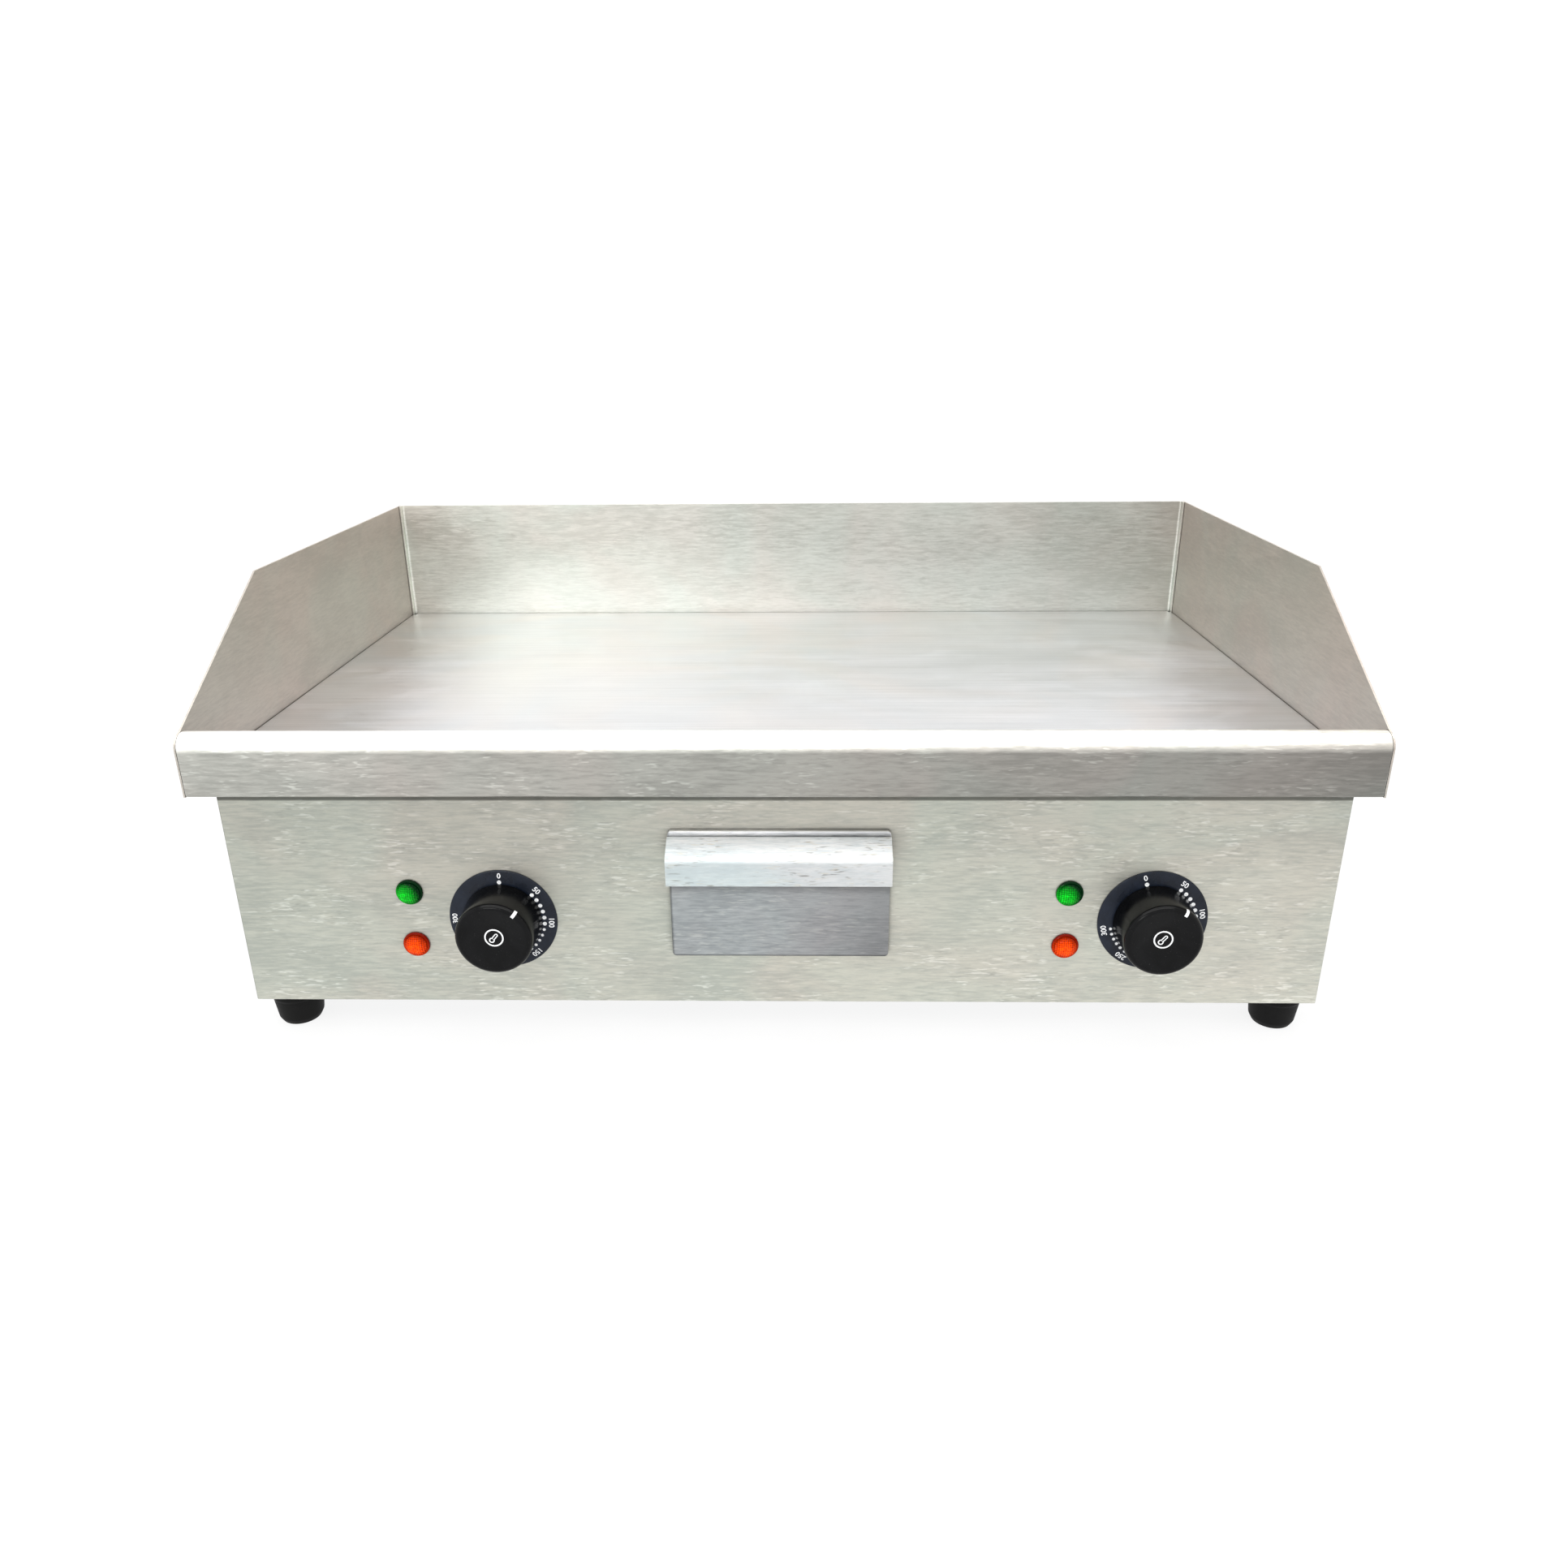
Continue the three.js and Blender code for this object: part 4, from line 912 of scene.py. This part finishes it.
def knob(side):
    body = f"{side}_control"
    where = on_wall(f"{side}_knob", FRONT, POINTER[side])
    face = stations(KNOB_FACE)
    shape = [*(tuple(p) for p, _ in face), *profile(KNOB_SKIRT), *KNOB_HOLLOW]
    piece(f"{side}_knob_cap", turned(shape, 128), KNOB_BLACK, f"{side}_knob", body, place=where)

    inner_end, lower_end, half_width = 19.5, 24.5, 1.05
    strip = [
        (p, Vector((-h.y, h.x))) for p, h in face if p.x > inner_end and p.y > lower_end
    ]
    below = [p - n * 0.2 for p, n in strip]
    above = [p + n * 0.07 for p, n in reversed(strip)]
    bar = prism("x", below + above, -half_width, half_width)
    piece(f"{side}_knob_pointer", bar, PRINT, body=body, place=where)
    icon(side, body)


def thermometer(half, low_end, high_end, corner, bulb, low, high):
    """A stem with a round bulb below it, from low to high."""
    stem = [(-half, low_end), (-half, high_end, corner), (half, high_end, corner), (half, low_end)]
    round_end = prism("z", ring(0, -2.4, bulb, 32), low, high)
    return join(prism("z", profile(stem), low, high), round_end)


def icon(side, body):
    """A ring round a small thermometer, printed in the middle of the dish."""
    low, high = 25.74, 25.88
    inside, outside = 5.25, 6.2
    circle = turned([(inside, low), (outside, low), (outside, high), (inside, high)], 64)
    solid = thermometer(1.15, -1.6, 3.4, 1.1, 1.85, low, high)
    hollow = thermometer(0.5, -1.2, 2.8, 0.45, 1.1, low - 1, high + 1)
    lean = Matrix.Rotation(-math.radians(40), 4, "Z") @ Matrix.Translation((0, 0.1, 0))
    mark = gathered(circle, moved(cut(solid, hollow), lean))
    where = on_wall(f"{side}_knob", FRONT)
    piece(f"{side}_knob_icon", mark, PRINT, body=body, place=where)


def diamond_dome():
    """A dome set with small prisms in diagonal rows, wider than the lens and closed below."""
    count = 15  # half the number of rows
    step = LENS_PITCH / 2
    bm = bmesh.new()
    rows = []
    for i in range(-count, count + 1):
        row = []
        for j in range(-count, count + 1):
            u, v = (i - j) * step / math.sqrt(2), (i + j) * step / math.sqrt(2)
            dome = LENS_TOP - LENS_DROP * min(1.0, (u * u + v * v) / LENS_RIM**2)
            peak = LENS_PRISM if i % 2 and j % 2 else 0.0
            row.append(bm.verts.new((u, v, dome - LENS_PRISM + peak)))
        rows.append(row)
    for i in range(2 * count):
        for j in range(2 * count):
            bm.faces.new((rows[i][j], rows[i + 1][j], rows[i + 1][j + 1], rows[i][j + 1]))
    bmesh.ops.triangulate(bm, faces=bm.faces, quad_method="FIXED")
    rim_edges = [edge for edge in bm.edges if edge.is_boundary]
    made = bmesh.ops.extrude_edge_only(bm, edges=rim_edges)["geom"]
    for vert in made:
        if isinstance(vert, bmesh.types.BMVert):
            vert.co.z = LENS_FOOT
    bmesh.ops.contextual_create(bm, geom=[e for e in bm.edges if e.is_boundary])
    bmesh.ops.recalc_face_normals(bm, faces=bm.faces)
    return bm


def lamp(side, kind, look):
    """A lamp whose lens is a dome cut into a diamond grid of small prisms."""
    node = f"{side}_{kind}_lamp"
    x0, x1 = extent(node)[:2]
    flange = (x1 - x0) / 2
    body, nut, back = 5.9, 7.9, -29.6
    housing = profile([
        (0, back), (5.6, back, 0.5), (body, -4.3), (nut, -4.3), (nut, -1.3), (body, -1.3),
        (body, 0.3), (flange, 0.3), (flange, 1.2, 0.7), (7.6, 1.8, 0.4), (7.2, 1.2), (0, 1.2),
    ])
    keep = profile([
        (0, 1.0), (LENS_RIM, 1.0), (LENS_RIM, 3.0, 0.5), (6.3, 5.4, 1.0), (0, 5.4),
    ])
    glass = combined("INTERSECT", diamond_dome(), turned(keep, 64))
    whole = gathered(turned(housing, 64), glass)
    piece(f"{node}_lit", whole, look, node, place=on_wall(node, FRONT), sharp=12)


def controls():
    for side, _ in SIDES:
        dial(side)
        knob(side)
        lamp(side, "power", GREEN)
        lamp(side, "heating", AMBER)
        refined(f"{side}_thermostat_shaft", ZINC, 0.1)
        refined(f"{side}_thermostat", PLASTIC, 0.2)


# ---- Inside and at the back ----
def inner_parts():
    for side, _ in SIDES:
        refined(f"{side}_heating_element", SHEATH, 0.0, 50)
        refined(f"{side}_element_clamp", ZINC, 0.15)
        refined(f"{side}_clamp_bolt", ZINC, 0.2)
        refined(f"{side}_sensing_bulb", COPPER, 0.0, 50)
        refined(f"{side}_capillary", COPPER, 0.0, 65)
        refined(f"{side}_element_lead", SILICONE, 0.0, 50)
        refined(f"{side}_supply_lead", SILICONE, 0.0, 50)
        refined(f"drawer_runner_{side}", ZINC, EASED)
        gland(side)
        for level, slant in (("lower", 65), ("upper", 20)):
            rear_screw(f"rear_screw_{level}_{side}", slant)
    refined("terminal_block", CERAMIC, 0.3)
    earth_stud()


def gland(side):
    """A cable gland: barrel, hexagon outside, nut inside, and a grip ribbed all round."""
    cable = 5.0
    body, grip = 7.8, 11.0
    barrel = turned(profile([
        (cable, -14), (7.3, -14), (body, -13.2), (body, 1.3), (grip, 1.3), (grip, 14.0, 2.0),
        (8.6, 19.0, 3.0), (7.5, 22.0, 0.5), (cable, 22.0, 0.5),
    ]))
    ribs, reach = 18, 11.15  # number of grooves between the ribs, and the radius they are cut at
    grooves = []
    for i in range(ribs):
        turn = 2 * math.pi * i / ribs
        spot = (reach * math.cos(turn), reach * math.sin(turn))
        grooves.append(prism("z", ring(*spot, 0.75, 8), 7.6, 13.2))
    flats = cut(
        prism("z", hexagon(24), 0.3, 6.0), turned([(0, -1), (cable, -1), (cable, 8), (0, 8)]),
    )
    nut = cut(prism("z", hexagon(22), -6.3, -1.3), prism("z", ring(0, 0, cable), -20, 30))
    whole = cut(join(join(barrel, flats), nut), *grooves)
    node = f"{side}_cable_gland"
    piece(f"{side}_gland_body", whole, PLASTIC, node, bevel=0.2, place=on_wall(node, REAR))


def rear_screw(node, slant):
    """A screw with a rounded head and a cross recess, turned by the slant."""
    shape = profile([
        (0, -9), (1.9, -7.6), (1.9, 0.3), (4.0, 0.3), (4.0, 1.2, 0.6), (2.6, 2.8, 1.8), (0, 2.8),
    ])
    half, arm, low, high = 0.4, 2.2, 1.4, 4
    cross = join(box(-arm, arm, -half, half, low, high), box(-half, half, -arm, arm, low, high))
    screw = cut(turned(shape, 48), cross)
    piece(f"{node}_head", screw, ZINC, node, bevel=0.08, place=on_wall(node, REAR, slant))


def earth_stud():
    """A threaded stud with two nuts and a washer between them."""
    crest, root, pitch = 3.0, 2.62, 1.0
    thread = [(0, -12.0), (2.6, -12.0)]
    z = -11.6
    while z < 14.2:
        thread += [(crest, z), (root, z + pitch / 2)]
        z += pitch
    thread += [(2.4, 15.0), (0, 15.0)]
    washer = turned([(2.0, 5.1), (6.5, 5.1), (6.5, 6.4), (2.0, 6.4)])
    whole = join(turned(thread, 40), washer)
    for low, high in ((0.3, 5.0), (6.5, 11.0)):
        bore = turned([(0, -1), (2.2, -1), (2.2, 12), (0, 12)])
        whole = join(whole, cut(prism("z", hexagon(10), low, high), bore))
    where = on_wall("earth_stud", REAR)
    piece("earth_stud_set", whole, BRASS, "earth_stud", bevel=0.12, place=where, sharp=50)


# ---- Grease drawer ----
def drawer():
    body = "grease_drawer"
    refined("drawer_tray", STEEL_Y, 0.15)
    x0, x1, y0, y1, z0, z1 = extent("drawer_front")
    corner = 2.5
    pan = prism("y", plaque(x0, x1, z0, z1, corner), y0, y1)
    inside = plaque(x0 + THIN, x1 - THIN, z0 + THIN, z1 - THIN, corner - THIN)
    hollow = prism("y", inside, y0 + THIN, y1 + 1)
    piece("drawer_front_pan", cut(pan, hollow), STEEL_DRAWER, "drawer_front", body, bevel=0.45)

    x0, x1, y0, y1, z0, z1 = extent("drawer_handle")
    lap, fall = 13, 10  # how far down the face it is fixed, and where its slope ends
    face, lip, top = y1 - SHEET / 2, y0 + SHEET / 2, z1 - SHEET / 2
    shape = bent([(face, z1 - lap), (face, top, 2.0), (lip, z1 - fall, 5.0), (lip, z0)])
    handle = prism("x", shape, x0, x1)
    piece("drawer_handle_sheet", handle, STEEL_HANDLE, "drawer_handle", body, bevel=0.2)


# ---- Studio ----
GRIDDLE = (0.0, -0.1, 0.2)  # where the lights aim, in metres


def camera():
    """The photo's camera, found by fitting the griddle's outline corners."""
    data = bpy.data.cameras.new("camera")
    data.lens = 26.54
    data.sensor_width = 36.0
    made = bpy.data.objects.new("camera", data)
    SCENE.collection.objects.link(made)
    yaw = Matrix.Rotation(math.radians(1.387), 4, "Z")
    pitch = Matrix.Rotation(math.radians(68.28), 4, "X")
    roll = Matrix.Rotation(math.radians(-0.521), 4, "Z")
    made.matrix_world = Matrix.Translation((0.01957, -0.87635, 0.44995)) @ yaw @ pitch @ roll
    SCENE.camera = made


def softbox(name, place, size, radiance, colour):
    """An area light that faces the griddle and isn't seen itself."""
    data = bpy.data.lights.new(name, "AREA")
    data.shape = "RECTANGLE"
    data.size, data.size_y = size
    data.energy = radiance * size[0] * size[1] * math.pi
    data.color = colour
    made = bpy.data.objects.new(name, data)
    SCENE.collection.objects.link(made)
    made.location = place
    aim = Vector(GRIDDLE) - Vector(place)
    made.rotation_euler = aim.to_track_quat("-Z", "Y").to_euler()
    made.visible_camera = False


def pale_floor():
    bm = bmesh.new()
    bmesh.ops.create_circle(bm, cap_ends=True, segments=96, radius=9.0)
    mesh = bpy.data.meshes.new("floor")
    bm.to_mesh(mesh)
    bm.free()
    floor = bpy.data.objects.new("floor", mesh)
    SCENE.collection.objects.link(floor)
    look = Look("pale_floor")
    grain = look.noise(30.0, 3.0)
    look.set(colour=look.mix(grain, rgb(0.11, 0.11, 0.11), rgb(0.13, 0.13, 0.13)), roughness=0.9)
    look.set(emission_color=rgb(1.0, 1.0, 1.0), emission_strength=0.85, specular=0.1)
    mesh.materials.append(look.material)


def sky():
    """A soft white sky, cooler on the left and warmer on the right."""
    world = bpy.data.worlds.new("soft_white")
    SCENE.world = world
    world.use_nodes = True
    nodes, links = world.node_tree.nodes, world.node_tree.links
    background = nodes["Background"]
    direction = nodes.new("ShaderNodeTexCoord").outputs["Generated"]
    split = nodes.new("ShaderNodeSeparateXYZ")
    links.new(direction, split.inputs[0])
    across = nodes.new("ShaderNodeMapRange")
    links.new(split.outputs["X"], across.inputs["Value"])
    across.inputs["From Min"].default_value = -1.0
    mixed = nodes.new("ShaderNodeMix")
    mixed.data_type = "RGBA"
    links.new(across.outputs[0], mixed.inputs[MIX_FACTOR])
    mixed.inputs[MIX_A].default_value = rgb(1.12, 1.13, 1.14)
    mixed.inputs[MIX_B].default_value = rgb(0.96, 0.94, 0.91)
    links.new(mixed.outputs[MIX_RESULT], background.inputs["Color"])
    background.inputs["Strength"].default_value = 1.15


def studio():
    pale_floor()
    sky()
    white = (1.0, 0.99, 0.97)
    softbox("overhead", (0.0, -0.1, 1.75), (2.6, 1.3), 2.2, white)
    softbox("overhead_front", (-0.1, -1.25, 1.5), (2.4, 0.7), 2.6, white)
    softbox("overhead_back", (0.2, 1.45, 1.25), (3.0, 0.8), 0.4, (0.99, 1.0, 1.0))
    softbox("window", (-0.95, -3.0, 0.85), (0.8, 0.5), 6.2, (1.0, 1.0, 0.96))
    SCENE.view_settings.view_transform = "Standard"
    SCENE.view_settings.look = "None"


camera()
studio()
welded_top()
cabinet()
controls()
inner_parts()
drawer()

bpy.context.view_layer.update()
